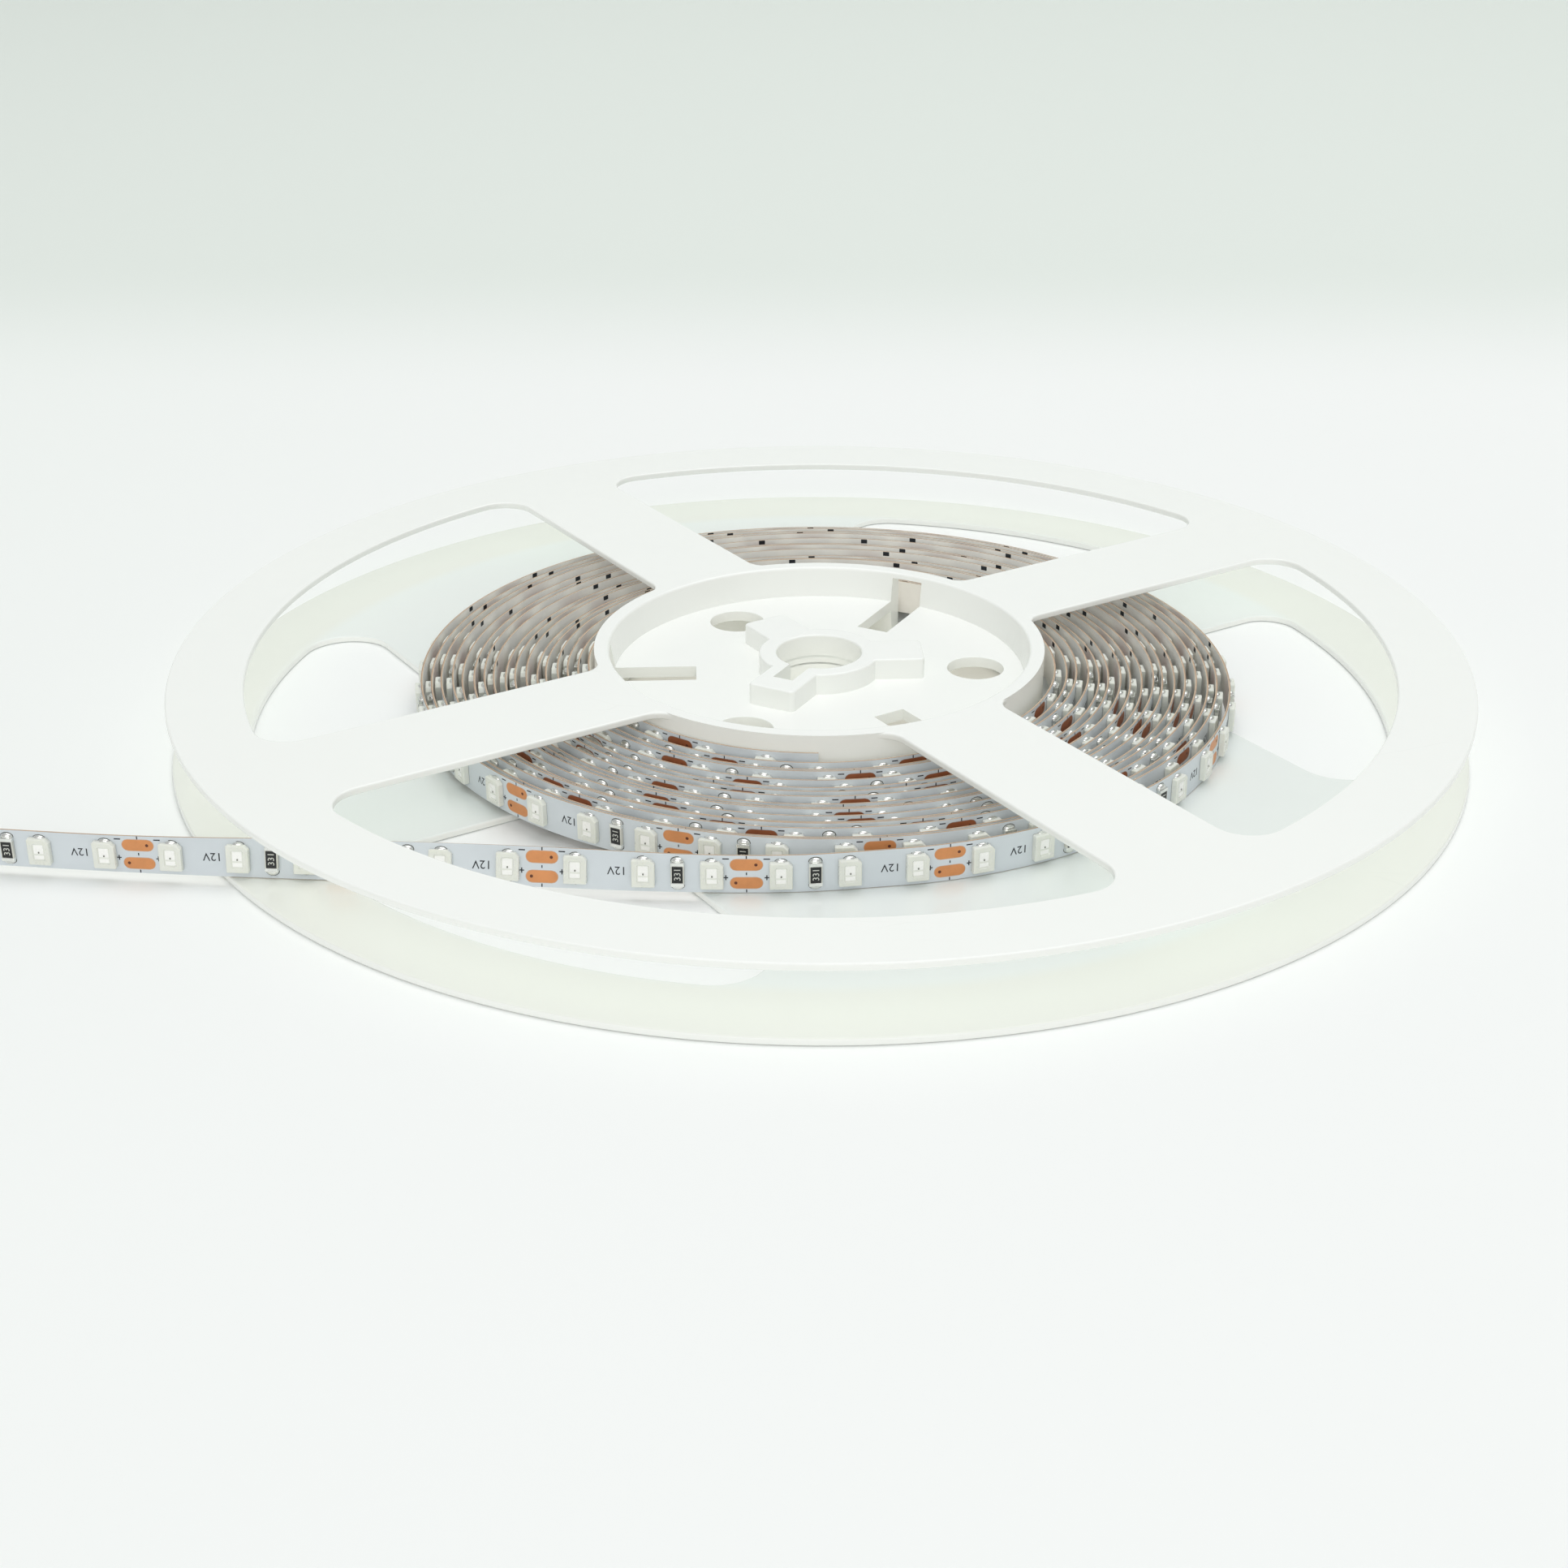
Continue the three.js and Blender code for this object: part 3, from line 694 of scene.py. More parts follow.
def resistor_template(tape):
    """Chip resistor: ceramic body with a dark coat, a metal terminal at each end."""
    x, y, high = tape.resistor_length / 2, tape.resistor_width / 2, tape.resistor_height
    soft, bevel, cap_y = np.array([0.04] * 4) * MM, 0.05 * MM, 0.24 * MM
    part = Template()
    body = cut_rectangle(x, y - 0.3 * MM, soft)
    body_top = cut_rectangle(x - bevel, y - 0.3 * MM, soft)
    part.add_stack([(body, 0.02 * MM), (body, high - bevel), (body_top, high)], [0, 0], 0)
    coat = cut_rectangle(x - 0.14 * MM, 1.08 * MM, soft)
    part.add_stack([(coat, high - 0.01 * MM), (coat, high + 0.025 * MM)], [1], 1)
    for side in (1, -1):
        middle = np.array([0, side * (y - 0.25 * MM)])
        cap = cut_rectangle(x + 0.02 * MM, cap_y, soft) + middle
        cap_top = cut_rectangle(x - bevel, cap_y - bevel, soft) + middle
        part.add_stack([(cap, 0), (cap, high), (cap_top, high + bevel)], [2, 2], 2)
    return part


def resistor_solder_template(tape):
    """Solder at both ends of a resistor: rounded domes on dark rims of painted reflection and shade."""
    part = Template()
    for side in (1, -1):
        middle = np.array([0, side * (tape.resistor_width / 2 + 0.02 * MM)])
        part.add_dome(middle, 0.8 * MM, 0.52 * MM, 0.56 * MM, (0, 1), 14, 0.07 * MM)
    return part


def stadium(length_x, width_y):
    """Loop of a rectangle with half-round ends: out along its lower side, back along its upper side."""
    radius = width_y / 2
    reach = length_x / 2 - radius
    end = radius * np.sin(np.radians([0, 28, 50, 68, 82]))
    x = np.concatenate([-reach - end[::-1], np.linspace(-reach, reach, 6)[1:-1], reach + end])
    past = np.maximum(np.abs(x) - reach, 0)
    y = np.sqrt(radius ** 2 - past ** 2)
    return np.vstack([np.column_stack([x, -y]), np.column_stack([x, y])[::-1]])


def pad_template():
    """Two copper pads at a cut mark, each with a dark disc that stands for its hole as painted shade:
    stadiums drawn as stacked loops.
    """
    part = Template()
    for across, hole in zip(PAD_ROWS, (1.15 * MM, -1.3 * MM)):
        loop = stadium(PAD_LENGTH, PAD_WIDTH)
        rim = stadium(PAD_LENGTH + 2 * PAD_RIM, PAD_WIDTH + 2 * PAD_RIM)
        lift = np.array([0, across])
        part.add_stack([(rim + lift, 0), (rim + lift, 0.012 * MM), (loop + lift, 0.016 * MM)], [1, 1], 0)
        dot = circle(hole, across, 0.21 * MM, 8)
        part.add_stack([(dot, 0.01 * MM), (dot, 0.024 * MM)], [2], 2)
    return part


def joint_template():
    """Two long beads of solder over the pads where two lengths of tape are joined, each on a dark rim of
    painted reflection and shade.
    """
    part = Template()
    for across in PAD_ROWS:
        part.add_dome(np.array([0.1 * MM, across]), 2.0 * MM, 0.72 * MM, 0.42 * MM, (0, 1), 20, PAD_RIM)
    return part


def tick_template():
    """Short strokes at a cut mark, with a minus beside the upper pad and a plus beside the lower.

    Each stroke is its middle along and across the tape and its two half sizes, in millimetres.
    """
    part = Template()
    none = np.array([0.01] * 4) * MM
    strokes = [(0, 2.28, 0.07, 0.2), (0, 0.06, 0.07, 0.17), (0, -2.26, 0.07, 0.2)]
    for x in (-2.5, 2.46):
        strokes += [(x, 2.05, 0.4, 0.075), (x, -0.48, 0.29, 0.07), (x, -0.48, 0.07, 0.33)]
    for x, y, half_x, half_y in strokes:
        loop = cut_rectangle(half_x * MM, half_y * MM, none) + np.array([x, y]) * MM
        part.add_stack([(loop, 0), (loop, 0.014 * MM)], [0], 0)
    return part


def back_mark_template():
    """Small dark bar at the upper edge of the tape's back."""
    part = Template()
    loop = cut_rectangle(0.5 * MM, 0.34 * MM, np.array([0.05] * 4) * MM) + np.array([0, 2.12 * MM])
    part.add_stack([(loop, -0.014 * MM), (loop, 0.0)], [0], 0)
    return part


def lettering(text, height):
    """A word as a thin solid: its points, centred and with capitals of a given height, and its faces."""
    curve = bpy.data.curves.new("lettering", "FONT")
    curve.body = text
    curve.align_x, curve.align_y = "CENTER", "CENTER"
    curve.resolution_u = 2
    curve.extrude = 0.01
    writer = bpy.data.objects.new("lettering", curve)
    bpy.context.scene.collection.objects.link(writer)
    bpy.context.view_layer.update()
    mesh = bpy.data.meshes.new_from_object(writer.evaluated_get(bpy.context.evaluated_depsgraph_get()))
    points = mesh_points(mesh)
    faces = [list(polygon.vertices) for polygon in mesh.polygons]
    bpy.data.objects.remove(writer)
    bpy.data.curves.remove(curve)
    bpy.data.meshes.remove(mesh)
    low, high = points.min(axis=0), points.max(axis=0)
    points = (points - (low + high) / 2) * (height / (high[1] - low[1]))
    return points, faces


def set_rigid(points, route, stations, length_x, gap):
    """Points of a stiff part at each station: its middle lies on the chord under its own length."""
    along, across, normal = route.frames(stations, length_x / 2)
    middle = (route.at(stations - length_x / 2) + route.at(stations + length_x / 2)) / 2
    middle = middle + across * route.tape.width / 2 + normal * (route.tape.thickness / 2 + gap)
    points = points[None, :, :]
    placed = middle[:, None] + along[:, None] * points[..., :1] + across[:, None] * points[..., 1:2]
    return placed + normal[:, None] * points[..., 2:]


def set_wrapped(points, route, stations, gap=0.0):
    """Points of a thin mark at each station, bent along the tape's own curve."""
    distance = stations[:, None] + points[None, :, 0]
    across = np.broadcast_to(points[None, :, 1] + route.tape.width / 2, distance.shape)
    height = np.broadcast_to(points[None, :, 2] + gap, distance.shape)
    return route.surface(distance, across, height)


def repeated(name, part, placed, materials, flat_above=30):
    """One piece with the part's faces set down once for each station."""
    count, size = placed.shape[:2]
    offsets = (np.arange(count) * size)[:, None, None]
    faces = (part.faces[None] + offsets).reshape(-1, 4)
    picks = np.tile(part.picks, count)
    return new_piece(name, placed.reshape(-1, 3), [faces], materials, picks, flat_above=flat_above)


def repeated_words(name, faces, placed, material):
    """One piece with a word's faces set down once for each station."""
    count, size = placed.shape[:2]
    rows = [[corner + i * size for corner in face] for i in range(count) for face in faces]
    mesh = bpy.data.meshes.new(name)
    mesh.from_pydata(placed.reshape(-1, 3).tolist(), [], rows)
    mesh.materials.append(material)
    return shown(name, mesh)


def stations_between(route, even_gap, odd_gap):
    """One place in each section: so many LED pitches from its start on even sections and on odd ones."""
    section = np.arange(route.sections)
    pitch = route.tape.cut_length / LEDS_PER_CUT
    return section * route.tape.cut_length + np.where(section % 2 == 0, even_gap * pitch, odd_gap * pitch)


def resistor_stations(route):
    """Middle of each section's resistor: after its first LED on even sections, its second on odd ones."""
    return stations_between(route, 1, 2)


def word_stations(route):
    """Middle of each section's voltage mark, in the gap that the resistor leaves free."""
    return stations_between(route, 2, 1) + 0.75 * MM


def tape_band(route):
    """Thin closed band: a rectangle of width by thickness carried along the route, with UV on each side."""
    tape = route.tape
    steps = int(route.length / (0.8 * MM))
    distance = np.linspace(0, route.length, steps + 1)
    _, across, normal = route.frames(distance, HALF_STEP)
    edge = route.at(distance)
    half = tape.thickness / 2
    sides = [(0, -half), (0, half), (tape.width, half), (tape.width, -half)]
    points = np.stack([edge + across * up + normal * out for up, out in sides], axis=1)
    i = np.arange(steps)[:, None] * 4
    j = np.arange(4)[None, :]
    faces = np.stack([i + j, i + j + 4, i + (j + 1) % 4 + 4, i + (j + 1) % 4], axis=-1).reshape(-1, 4)
    last = steps * 4
    caps = np.array([[0, 1, 2, 3], [last + 3, last + 2, last + 1, last]])
    share = distance / route.length
    start, end = share[:-1, None], share[1:, None]
    zero, one = np.zeros((steps, 4)), np.ones((steps, 4))
    corners = ((start, zero), (end, zero), (end, one), (start, one))
    uv = np.stack([np.stack([along + zero, side], axis=-1) for along, side in corners], axis=2)
    cap_uv = np.array([[0, 0], [0, 1], [1, 1], [1, 0]] * 2, dtype=float)
    picks = np.concatenate([np.tile([1, 0, 1, 2], steps), [1, 1]])
    return points.reshape(-1, 3), [np.vstack([faces, caps])], picks, np.vstack([uv.reshape(-1, 2), cap_uv])


# Finishes


def feed(tree, value, target):
    """Links a socket to an input, or sets a plain value on it."""
    if isinstance(value, bpy.types.NodeSocket):
        tree.links.new(value, target)
    else:
        target.default_value = value


def node(tree, kind, **inputs):
    """New node with links or values for its inputs, named with underscores for spaces."""
    made = tree.nodes.new(kind)
    for name, value in inputs.items():
        feed(tree, value, made.inputs[name.replace("_", " ")])
    return made


def object_place(tree):
    """Object coordinates of the shaded point."""
    return tree.nodes.new("ShaderNodeTexCoord").outputs["Object"]


def axis_distance(tree):
    """Distance of the shaded point from the reel's axis."""
    centred = node(
        tree, "ShaderNodeMapping", Vector=object_place(tree), Location=(-AXIS_X, 0, 0), Scale=(1, 1, 0))
    radius = tree.nodes.new("ShaderNodeVectorMath")
    radius.operation = "LENGTH"
    tree.links.new(centred.outputs[0], radius.inputs[0])
    return radius.outputs["Value"]


def mix_colour(tree, factor, first, second):
    """Mix node on colours."""
    mix = tree.nodes.new("ShaderNodeMix")
    mix.data_type = "RGBA"
    for socket, value in ((0, factor), (6, first), (7, second)):
        feed(tree, value, mix.inputs[socket])
    return mix.outputs[2]


def calculate(tree, operation, first, second=0.0):
    """Math node."""
    made = tree.nodes.new("ShaderNodeMath")
    made.operation = operation
    for socket, value in enumerate((first, second)):
        feed(tree, value, made.inputs[socket])
    return made.outputs[0]


def between(tree, value, low, high, new_low=0.0, new_high=1.0):
    """Map Range node with smooth ends."""
    made = tree.nodes.new("ShaderNodeMapRange")
    made.interpolation_type = "SMOOTHSTEP"
    for socket, number in enumerate((value, low, high, new_low, new_high)):
        feed(tree, number, made.inputs[socket])
    return made.outputs[0]


def wear_group():
    """Shared group: fine grain, soft blotches and sparse hairline scratches on Object coordinates."""
    group = bpy.data.node_groups.get("surface_wear")
    if group:
        return group
    group = bpy.data.node_groups.new("surface_wear", "ShaderNodeTree")
    for name, value in (("Grain Scale", 900.0), ("Blotch Scale", 40.0), ("Scratch Scale", 60.0)):
        made = group.interface.new_socket(name=name, in_out="INPUT", socket_type="NodeSocketFloat")
        made.default_value = value
    for name in ("Grain", "Blotch", "Scratch"):
        group.interface.new_socket(name=name, in_out="OUTPUT", socket_type="NodeSocketFloat")
    start, end = group.nodes.new("NodeGroupInput"), group.nodes.new("NodeGroupOutput")
    place = object_place(group)
    for name, detail in (("Grain", 3.0), ("Blotch", 4.0)):
        noise = node(group, "ShaderNodeTexNoise", Vector=place, Scale=start.outputs[name + " Scale"],
                     Detail=detail, Roughness=0.6)
        group.links.new(noise.outputs["Fac"], end.inputs[name])
    bend = node(group, "ShaderNodeTexNoise", Vector=place, Scale=25.0, Detail=2.0)
    shifted = group.nodes.new("ShaderNodeVectorMath")
    shifted.operation = "MULTIPLY_ADD"
    for socket, value in enumerate((bend.outputs["Color"], (0.02, 0.02, 0.0), place)):
        feed(group, value, shifted.inputs[socket])
    stretched = node(
        group, "ShaderNodeMapping", Vector=shifted.outputs[0], Rotation=(0, 0, 0.6), Scale=(1.0, 9.0, 1.0))
    cells = group.nodes.new("ShaderNodeTexVoronoi")
    cells.feature = "DISTANCE_TO_EDGE"
    feed(group, stretched.outputs[0], cells.inputs["Vector"])
    feed(group, start.outputs["Scratch Scale"], cells.inputs["Scale"])
    line = between(group, cells.outputs["Distance"], 0.0, 0.012, 1.0, 0.0)
    sparse = node(group, "ShaderNodeTexNoise", Vector=place, Scale=70.0, Detail=1.0)
    chosen = between(group, sparse.outputs["Fac"], 0.62, 0.72)
    group.links.new(calculate(group, "MULTIPLY", line, chosen), end.inputs["Scratch"])
    return group


class Finish:
    """A material under way: its tree, its Principled shader and its wear masks."""

    def __init__(self, name, grain=900.0, blotch=40.0, scratch=60.0):
        self.material = bpy.data.materials.new(name)
        self.material.use_nodes = True
        self.tree = self.material.node_tree
        self.shader = self.tree.nodes["Principled BSDF"]
        self.wear = self.tree.nodes.new("ShaderNodeGroup")
        self.wear.node_tree = wear_group()
        for socket, value in enumerate((grain, blotch, scratch)):
            self.wear.inputs[socket].default_value = value

    def set(self, **values):
        """Sets plain values on the shader's own sockets."""
        for name, value in values.items():
            self.shader.inputs[name.replace("_", " ")].default_value = value

    def link(self, socket, name):
        """Feeds one of the shader's sockets."""
        self.tree.links.new(socket, self.shader.inputs[name])

    def blotched(self, base, amount):
        """Colour that drifts a little lighter and darker with the soft blotches."""
        dark = tuple(v * (1 - amount) for v in base) + (1,)
        light = tuple(min(1, v * (1 + amount)) for v in base) + (1,)
        share = between(self.tree, self.wear.outputs["Blotch"], 0.3, 0.7)
        return mix_colour(self.tree, share, dark, light)

    def rough(self, low, high):
        """Roughness that follows grain and blotches."""
        mixed = calculate(self.tree, "ADD", self.wear.outputs["Grain"], self.wear.outputs["Blotch"])
        self.link(between(self.tree, mixed, 0.6, 1.4, low, high), "Roughness")

    def bump(self, height, distance, strength=1.0):
        """Bump from a height socket."""
        made = node(self.tree, "ShaderNodeBump", Height=height, Strength=strength, Distance=distance)
        self.link(made.outputs["Normal"], "Normal")


def rgba(values):
    """Colour with a full alpha."""
    return (*values, 1.0)


def plastic_finish(name, colour, inner_colour, colours):
    """Milky plastic: one tone on the ring and one inside it, paler walls and edges as a painted glow of
    light leaving through them, faint scuffs.
    """
    finish = Finish(name, grain=350.0, blotch=22.0, scratch=38.0)
    tree = finish.tree
    # On the lower half the ring and inner tones are painted shade under the upper half.
    outside = between(tree, axis_distance(tree), 0.078, 0.081)
    base = mix_colour(tree, outside, finish.blotched(inner_colour, 0.004), finish.blotched(colour, 0.004))
    # Walls and edges get their own tone: a painted glow of light leaving the plastic through its edges.
    facing = tree.nodes.new("ShaderNodeNewGeometry").outputs["Normal"]
    upright = node(tree, "ShaderNodeSeparateXYZ", Vector=facing)
    level = calculate(tree, "ABSOLUTE", upright.outputs["Z"])
    wall = between(tree, level, 0.35, 0.97, 1.0, 0.0)
    tone = mix_colour(tree, wall, base, rgba(colours.plastic_edge_glow))
    scuffed = calculate(tree, "MULTIPLY", finish.wear.outputs["Scratch"], 0.05)
    finish.link(mix_colour(tree, scuffed, tone, rgba(tint(196, 198, 190))), "Base Color")
    finish.rough(0.2, 0.26)
    finish.bump(finish.wear.outputs["Blotch"], 0.00002, 0.1)
    finish.set(IOR=1.45, Coat_Weight=0.2, Coat_Roughness=0.12)
    return finish.material


def tape_finishes(colours):
    """Coated face, cut edge with its copper line, and paper backing."""
    face = Finish("tape_face", grain=2500.0, blotch=60.0, scratch=90.0)
    face.link(face.blotched(colours.tape_face, 0.035), "Base Color")
    face.rough(0.3, 0.48)
    face.bump(face.wear.outputs["Grain"], 0.00001, 0.3)
    face.set(IOR=1.5, Coat_Weight=0.2, Coat_Roughness=0.2)
    edge = Finish("tape_edge", grain=2500.0, blotch=300.0, scratch=90.0)
    tree = edge.tree
    across = node(tree, "ShaderNodeSeparateXYZ", Vector=tree.nodes.new("ShaderNodeUVMap").outputs["UV"])
    edge_tone = edge.blotched(tint(196, 176, 152), 0.1)
    copper_line = calculate(tree, "MULTIPLY", between(tree, across.outputs["Y"], 0.12, 0.2),
                            between(tree, across.outputs["Y"], 0.34, 0.42, 1.0, 0.0))
    edge.link(mix_colour(tree, copper_line, edge_tone, rgba(tint(150, 104, 72))), "Base Color")
    edge.rough(0.45, 0.6)
    back = Finish("tape_back", grain=1800.0, blotch=80.0, scratch=120.0)
    back.link(back.blotched(colours.tape_back, 0.04), "Base Color")
    back.rough(0.5, 0.7)
    back.bump(back.wear.outputs["Grain"], 0.00002, 0.3)
    return [face.material, edge.material, back.material]


def simple_finish(name, base, low, high, amount=0.04, grain=3000.0, **values):
    """Finish with a lightly blotched colour, uneven roughness and a fine bump."""
    finish = Finish(name, grain=grain, blotch=400.0, scratch=200.0)
    finish.link(finish.blotched(base, amount), "Base Color")
    finish.rough(low, high)
    finish.bump(finish.wear.outputs["Grain"], 0.00001, 0.2)
    finish.set(**values)
    return finish.material


def solder_finish():
    """Bright solder with a slightly crinkled skin."""
    finish = Finish("solder", grain=1500.0, blotch=700.0, scratch=200.0)
    finish.link(finish.blotched(tint(234, 235, 231), 0.08), "Base Color")
    finish.rough(0.14, 0.3)
    finish.bump(finish.wear.outputs["Blotch"], 0.00004, 0.5)
    finish.set(Metallic=1.0)
    return finish.material


# Operators


class BuildReelHalves(bpy.types.Operator):
    """Build both moulded halves of the reel"""

    bl_idname = "strip_reel.halves"
    bl_label = "Reel halves"

    def execute(self, context):
        reel, _, colours = settings()
        # The lower half gets darker tones as painted shade under the upper half.
        plastic = plastic_finish("milky_plastic_below_shaded", colours.plastic_low_shaded, colours.plastic_panel_shaded, colours)
        half = joined_half(reel, panel_windows(reel))
        lower = half_piece("lower_shell", half, mesh_points(half), plastic)
        settle(lower, "reel_plastic", "lower_flange")
        plastic = plastic_finish("milky_plastic", colours.plastic, colours.plastic, colours)
        half = joined_half(reel, spoke_windows(reel))
        upper = half_piece("upper_shell", half, turned_over(mesh_points(half), reel), plastic)
        # The milky plastic lets light through, so the coil below it stays bright.
        upper.visible_shadow = False
        settle(upper, "reel_plastic", "upper_flange")
        return {"FINISHED"}


class BuildTape(bpy.types.Operator):
    """Build the wound tape with its copper pads and printed marks"""

    bl_idname = "strip_reel.tape"
    bl_label = "Tape"

    def execute(self, context):
        reel, tape, colours = settings()
        route = Route(reel, tape)
        points, faces, picks, uv = tape_band(route)
        band = new_piece("tape_band", points, faces, tape_finishes(colours), picks, uv, 40)
        settle(band, "tape", "led_tape")
        cuts = np.arange(1, route.sections + 1) * tape.cut_length
        copper = simple_finish("bare_copper", colours.copper, 0.3, 0.45, 0.06, Metallic=0.25)
        rim = simple_finish("pad_rim", tint(206, 172, 148), 0.4, 0.5)
        # Painted shade: a dark disc stands for the hole in each pad.
        hole = simple_finish("pad_hole_shade", tint(96, 48, 26), 0.4, 0.6)
        pads = pad_template()
        placed = set_wrapped(pads.points, route, cuts)
        settle(repeated("copper_pads", pads, placed[:BRIGHT_CUTS], [copper, rim, hole], 40), "tape")
        # Painted shade: the pads inside the coil are drawn in darker copper and rims.
        coil_shade_copper = simple_finish("copper_in_coil_shade", colours.copper_in_coil_shade, 0.35, 0.5, 0.08)
        coil_shade_rim = simple_finish("pad_rim_in_coil_shade", tint(150, 128, 118), 0.4, 0.5)
        settle(repeated("coil_pads", pads, placed[BRIGHT_CUTS:], [coil_shade_copper, coil_shade_rim, hole], 40), "tape")
        bead = joint_template()
        placed = set_wrapped(bead.points, route, cuts[JOINT_SECTIONS - 1::JOINT_SECTIONS])
        # Painted reflection and shade: the dark rim round the foot of the solder.
        dark = simple_finish("solder_rim_shade", tint(84, 82, 74), 0.3, 0.5)
        settle(repeated("joint_solder", bead, placed, [solder_finish(), dark], 60), "tape")
        ink = simple_finish("ink", colours.ink, 0.45, 0.6)
        ticks = tick_template()
        settle(repeated("cut_ticks", ticks, set_wrapped(ticks.points, route, cuts), [ink], 40), "tape")
        bars = back_mark_template()
        placed = set_wrapped(bars.points, route, resistor_stations(route), -tape.thickness)
        settle(repeated("back_marks", bars, placed, [ink], 40), "tape")
        shape = lettering("12V", 1.05 * MM)
        thin = 0.012 * MM
        word = np.clip(shape[0] * np.array([-1, -1, 1]), (-np.inf, -np.inf, -thin), (np.inf, np.inf, thin))
        placed = set_wrapped(word, route, word_stations(route), 0.004 * MM)
        settle(repeated_words("voltage_marks", shape[1], placed, ink), "tape")
        return {"FINISHED"}


class BuildLeds(bpy.types.Operator):
    """Set down the LEDs with their solder"""

    bl_idname = "strip_reel.leds"
    bl_label = "LEDs"

    def execute(self, context):
        reel, tape, colours = settings()
        route = Route(reel, tape)
        pitch = tape.cut_length / LEDS_PER_CUT
        stations = (np.arange(int((route.length - tape.led_length / 2) / pitch)) + 0.5) * pitch
        housing = simple_finish("led_housing", colours.housing, 0.24, 0.4, 0.02, Subsurface_Weight=0.3,
                                Subsurface_Radius=(1, 1, 0.8), Subsurface_Scale=0.0004)
        window = simple_finish("led_window", colours.window, 0.1, 0.2, 0.02, Coat_Weight=1.0,
                               Coat_Roughness=0.05)
        pad = simple_finish("led_pad", tint(252, 252, 248), 0.2, 0.35, 0.01)
        chip = simple_finish("led_chip", tint(120, 122, 112), 0.3, 0.5)
        part = led_template(tape)
        placed = set_rigid(part.points, route, stations, tape.led_length, 0.04 * MM)
        nodes = [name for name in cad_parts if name.startswith("led_") and name != "led_tape"]
        settle(repeated("leds", part, placed, [housing, window, pad, chip]), "led_housing", *sorted(nodes))
        solder, rim = bpy.data.materials["solder"], bpy.data.materials["solder_rim_shade"]
        part = led_solder_template(tape)
        placed = set_rigid(part.points, route, stations, tape.led_length, 0.0)
        settle(repeated("led_solder", part, placed, [solder, rim], 50), "led_housing")
        return {"FINISHED"}


class BuildResistors(bpy.types.Operator):
    """Set down the chip resistors with their value marks and solder"""

    bl_idname = "strip_reel.resistors"
    bl_label = "Resistors"

    def execute(self, context):
        reel, tape, colours = settings()
        route = Route(reel, tape)
        stations = resistor_stations(route)
        solder, rim = bpy.data.materials["solder"], bpy.data.materials["solder_rim_shade"]
        ceramic = simple_finish("ceramic", colours.ceramic, 0.35, 0.5)
        coat = simple_finish("resistor_coat", colours.coat, 0.25, 0.4)
        print_tone = simple_finish("value_print", tint(206, 208, 200), 0.4, 0.55)
        part = resistor_template(tape)
        placed = set_rigid(part.points, route, stations, tape.resistor_length, 0.05 * MM)
        nodes = [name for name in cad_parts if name.startswith("resistor_")]
        settle(repeated("resistors", part, placed, [ceramic, coat, solder]), "chip_resistor", *sorted(nodes))
        domes = resistor_solder_template(tape)
        placed = set_rigid(domes.points, route, stations, tape.resistor_length, 0.0)
        settle(repeated("resistor_solder", domes, placed, [solder, rim], 50), "chip_resistor")
        shape = lettering("331", 0.8 * MM)
        x, y, z = shape[0].T
        thin, top = 0.008 * MM, tape.resistor_height + 0.03 * MM
        word = np.column_stack([-y, x, np.clip(z, -thin, thin) + top])
        placed = set_rigid(word, route, stations, tape.resistor_length, 0.05 * MM)
        settle(repeated_words("value_marks", shape[1], placed, print_tone), "chip_resistor")
        return {"FINISHED"}


class BuildStage(bpy.types.Operator):
    """Build the floor with its backdrop, the lamps and the camera"""

    bl_idname = "strip_reel.stage"
    bl_label = "Stage"

    def execute(self, context):
        _, _, colours = settings()
        build_floor(colours)
        build_lamps()
        build_camera()
        bpy.context.scene.view_settings.view_transform = "Standard"
        return {"FINISHED"}


def build_floor(colours):
    """Sweep: a level floor that curves up into an upright backdrop far behind the reel."""
    side, near, bend_from, bend, wall_low, wall_high = 2.5, -2.0, 0.9, 0.5, 0.6, 2.4
    x = np.linspace(-side, side, 41)
    bearing = np.linspace(0, np.pi / 2, 17)[1:]
    run = np.concatenate([
        np.linspace(near, bend_from, 30), bend_from + bend * np.sin(bearing), np.full(8, bend_from + bend)])
    rise = np.concatenate([np.zeros(30), bend * (1 - np.cos(bearing)), np.linspace(wall_low, wall_high, 8)])
    points = np.stack([
        np.repeat(x[None, :], len(run), axis=0), np.repeat(run[:, None], len(x), axis=1),
        np.repeat(rise[:, None], len(x), axis=1)], axis=-1).reshape(-1, 3)
    i = np.arange(len(run) - 1)[:, None] * len(x)
    j = np.arange(len(x) - 1)[None, :]
    faces = np.stack([i + j, i + j + 1, i + j + 1 + len(x), i + j + len(x)], axis=-1).reshape(-1, 4)
    finish = Finish("studio_paper", grain=600.0, blotch=3.0, scratch=10.0)
    tree = finish.tree
    place = node(tree, "ShaderNodeSeparateXYZ", Vector=object_place(tree))
    behind = between(tree, place.outputs["Y"], 0.15, 0.27)
    # Painted shade: the floor turns darker towards the left.
    left = between(tree, place.outputs["X"], -0.32, 0.0, 1.0, 0.0)
    level = mix_colour(tree, left, finish.blotched(colours.floor, 0.004), rgba(tint(240, 245, 241)))
    finish.link(mix_colour(tree, behind, level, rgba(colours.backdrop)), "Base Color")
    # A faint glow under the hub stands for the light that the milky plastic lets through.
    finish.link(between(tree, axis_distance(tree), 0.028, 0.031, 0.27, 0.0), "Emission Strength")
    finish.set(Roughness=0.75, Specular_IOR_Level=0.2, Emission_Color=rgba(tint(242, 234, 220)))
    new_piece("studio_floor", points, [faces], [finish.material])


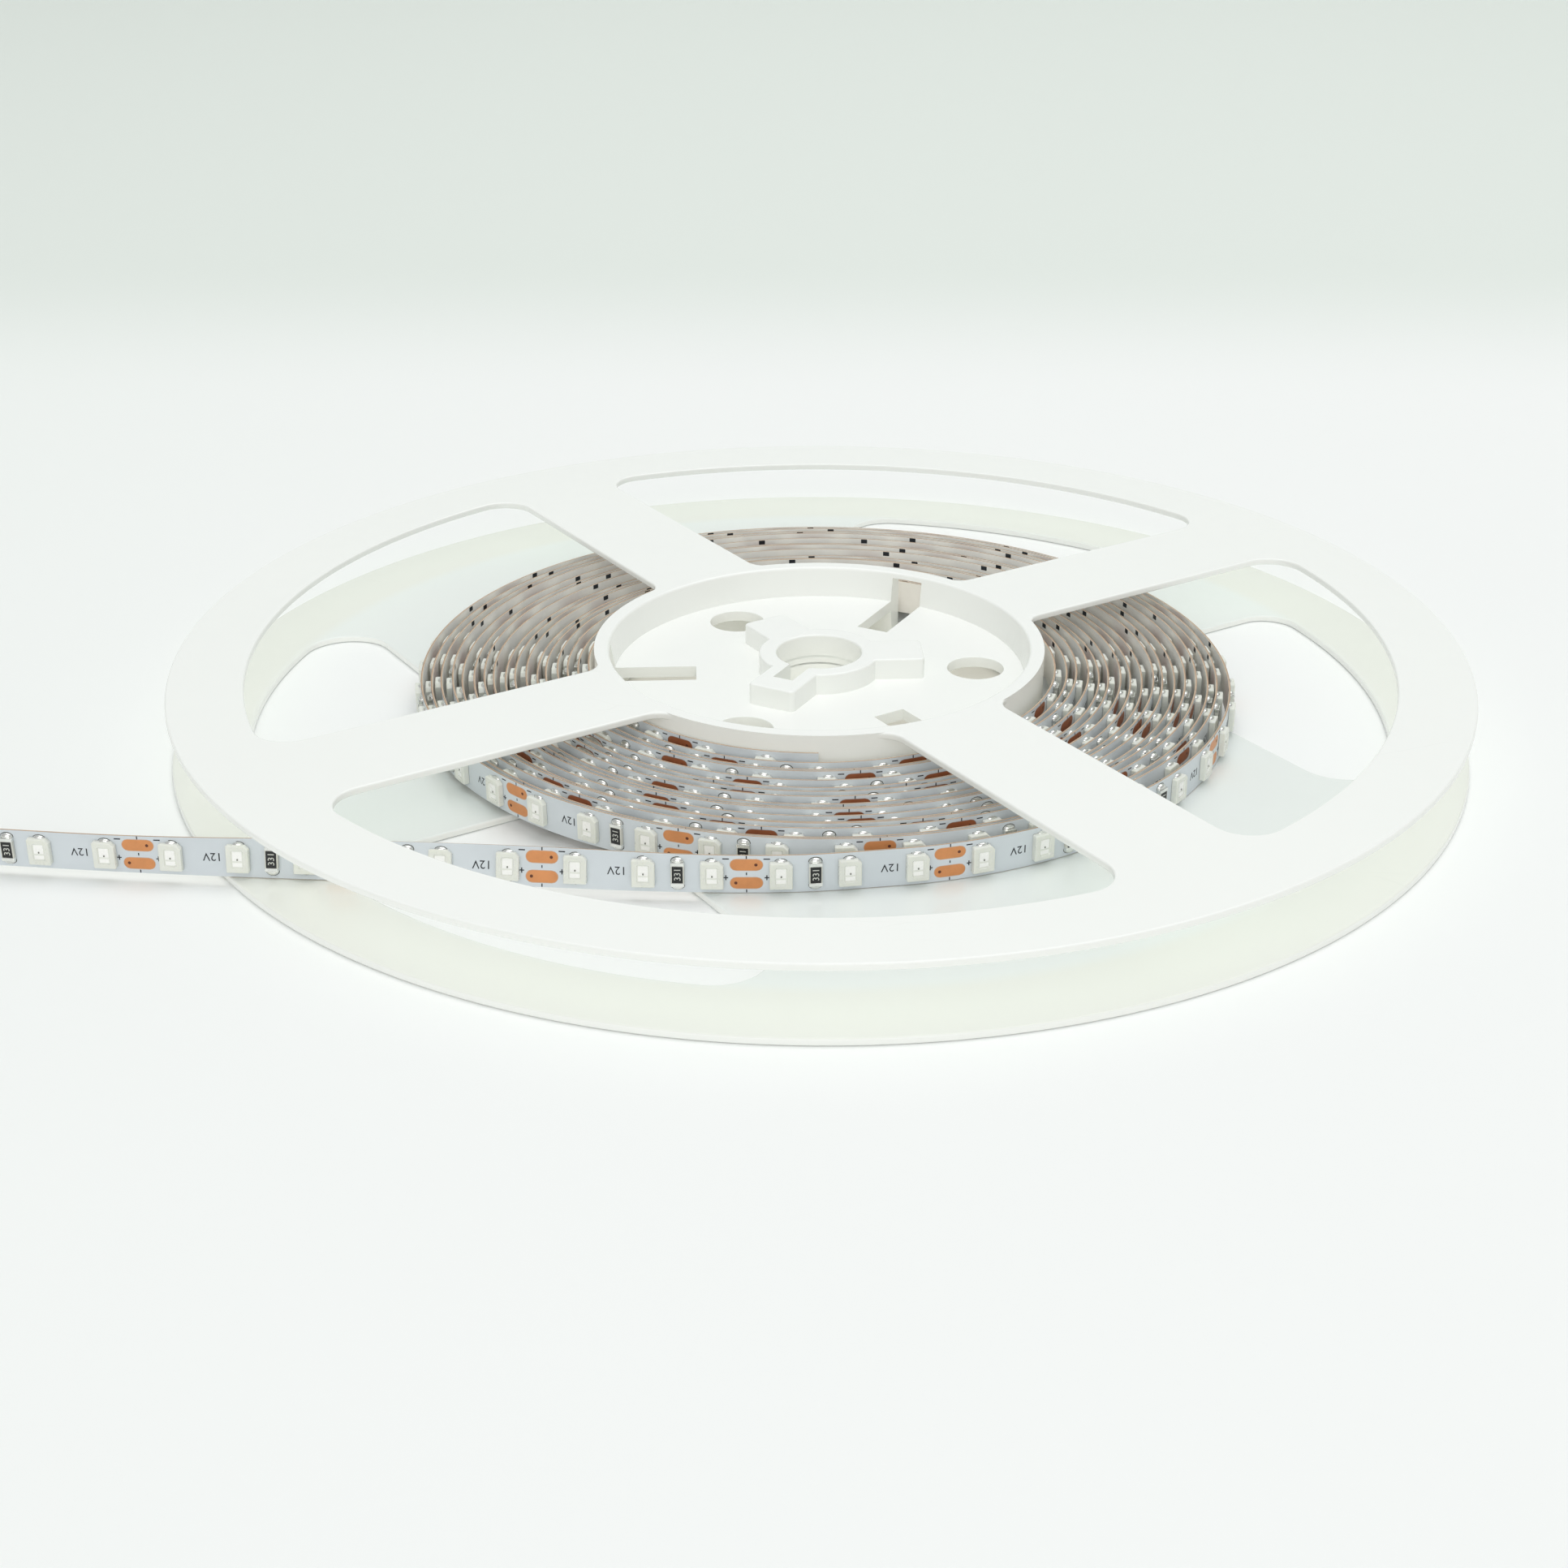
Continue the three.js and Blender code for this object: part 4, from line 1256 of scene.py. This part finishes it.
def lamp(name, size, place, power):
    """Square area lamp turned towards the middle of the floor."""
    light = bpy.data.lights.new(name, "AREA")
    light.shape, light.size, light.energy = "SQUARE", size, power
    made = bpy.data.objects.new(name, light)
    made.location = place
    made.rotation_euler = (-mathutils.Vector(place)).to_track_quat("-Z", "Y").to_euler()
    bpy.context.scene.collection.objects.link(made)


def build_lamps():
    """One large soft lamp overhead, a weaker one from the front, and an even surround."""
    world = bpy.data.worlds.new("surround")
    world.use_nodes = True
    surround = world.node_tree.nodes["Background"]
    surround.inputs["Color"].default_value = (1, 1, 1, 1)
    surround.inputs["Strength"].default_value = 0.52
    bpy.context.scene.world = world
    lamp("overhead", 1.4, (0.25, 0.35, 1.5), 10.5)
    lamp("front_fill", 1.3, (-0.1, -1.3, 0.75), 7.0)


def build_camera():
    """Camera at the photograph's place: aimed at the reel's axis, then panned, tilted and rolled."""
    pan, tilt, roll = 0.834, -1.815, -0.216
    place = mathutils.Vector((AXIS_X, -309.00 * MM, 138.16 * MM))
    look = -(place - mathutils.Vector((AXIS_X, 0, 0))).normalized()
    right = look.cross(mathutils.Vector((0, 0, 1))).normalized()
    axes = [look, right, right.cross(look)]
    for index, degrees in ((2, pan), (1, tilt), (0, roll)):
        spin = mathutils.Quaternion(axes[index], math.radians(degrees))
        axes = [spin @ axis for axis in axes]
    look, right, up = axes
    camera = bpy.data.objects.new("photo_camera", bpy.data.cameras.new("photo_camera"))
    camera.data.lens = 54.276
    camera.data.sensor_width = 36
    camera.data.clip_start, camera.data.clip_end = 0.01, 20
    rows = mathutils.Matrix((right, up, -look)).transposed()
    camera.matrix_world = mathutils.Matrix.Translation(place) @ rows.to_4x4()
    bpy.context.scene.collection.objects.link(camera)
    bpy.context.scene.camera = camera


class ReelPanel(bpy.types.Panel):
    """Sidebar panel with the reel's operators and sizes"""

    bl_idname = "VIEW3D_PT_strip_reel"
    bl_label = "Strip Reel"
    bl_space_type = "VIEW_3D"
    bl_region_type = "UI"
    bl_category = "Strip Reel"

    def draw(self, context):
        """Lists the operators, then every size and colour."""
        for operator in OPERATORS:
            self.layout.operator(operator.bl_idname)
        for group in settings():
            box = self.layout.box()
            for name in type(group).__annotations__:
                box.prop(group, name)


OPERATORS = (BuildReelHalves, BuildTape, BuildLeds, BuildResistors, BuildStage)
GROUPS = {"reel_sizes": ReelSizes, "tape_sizes": TapeSizes, "reel_colours": ReelColours}


def register():
    """Adds the property groups, the operators and the panel."""
    for group in GROUPS.values():
        bpy.utils.register_class(group)
    for name, group in GROUPS.items():
        setattr(bpy.types.Scene, name, bpy.props.PointerProperty(type=group))
    for operator in OPERATORS:
        bpy.utils.register_class(operator)
    bpy.utils.register_class(ReelPanel)


def unregister():
    """Takes the panel, the operators and the property groups out again."""
    bpy.utils.unregister_class(ReelPanel)
    for operator in reversed(OPERATORS):
        bpy.utils.unregister_class(operator)
    for name in GROUPS:
        delattr(bpy.types.Scene, name)
    for group in reversed(list(GROUPS.values())):
        bpy.utils.unregister_class(group)


def main():
    """Builds everything."""
    register()
    bpy.ops.strip_reel.halves()
    bpy.ops.strip_reel.tape()
    bpy.ops.strip_reel.leds()
    bpy.ops.strip_reel.resistors()
    bpy.ops.strip_reel.stage()


if __name__ == "__main__":
    main()
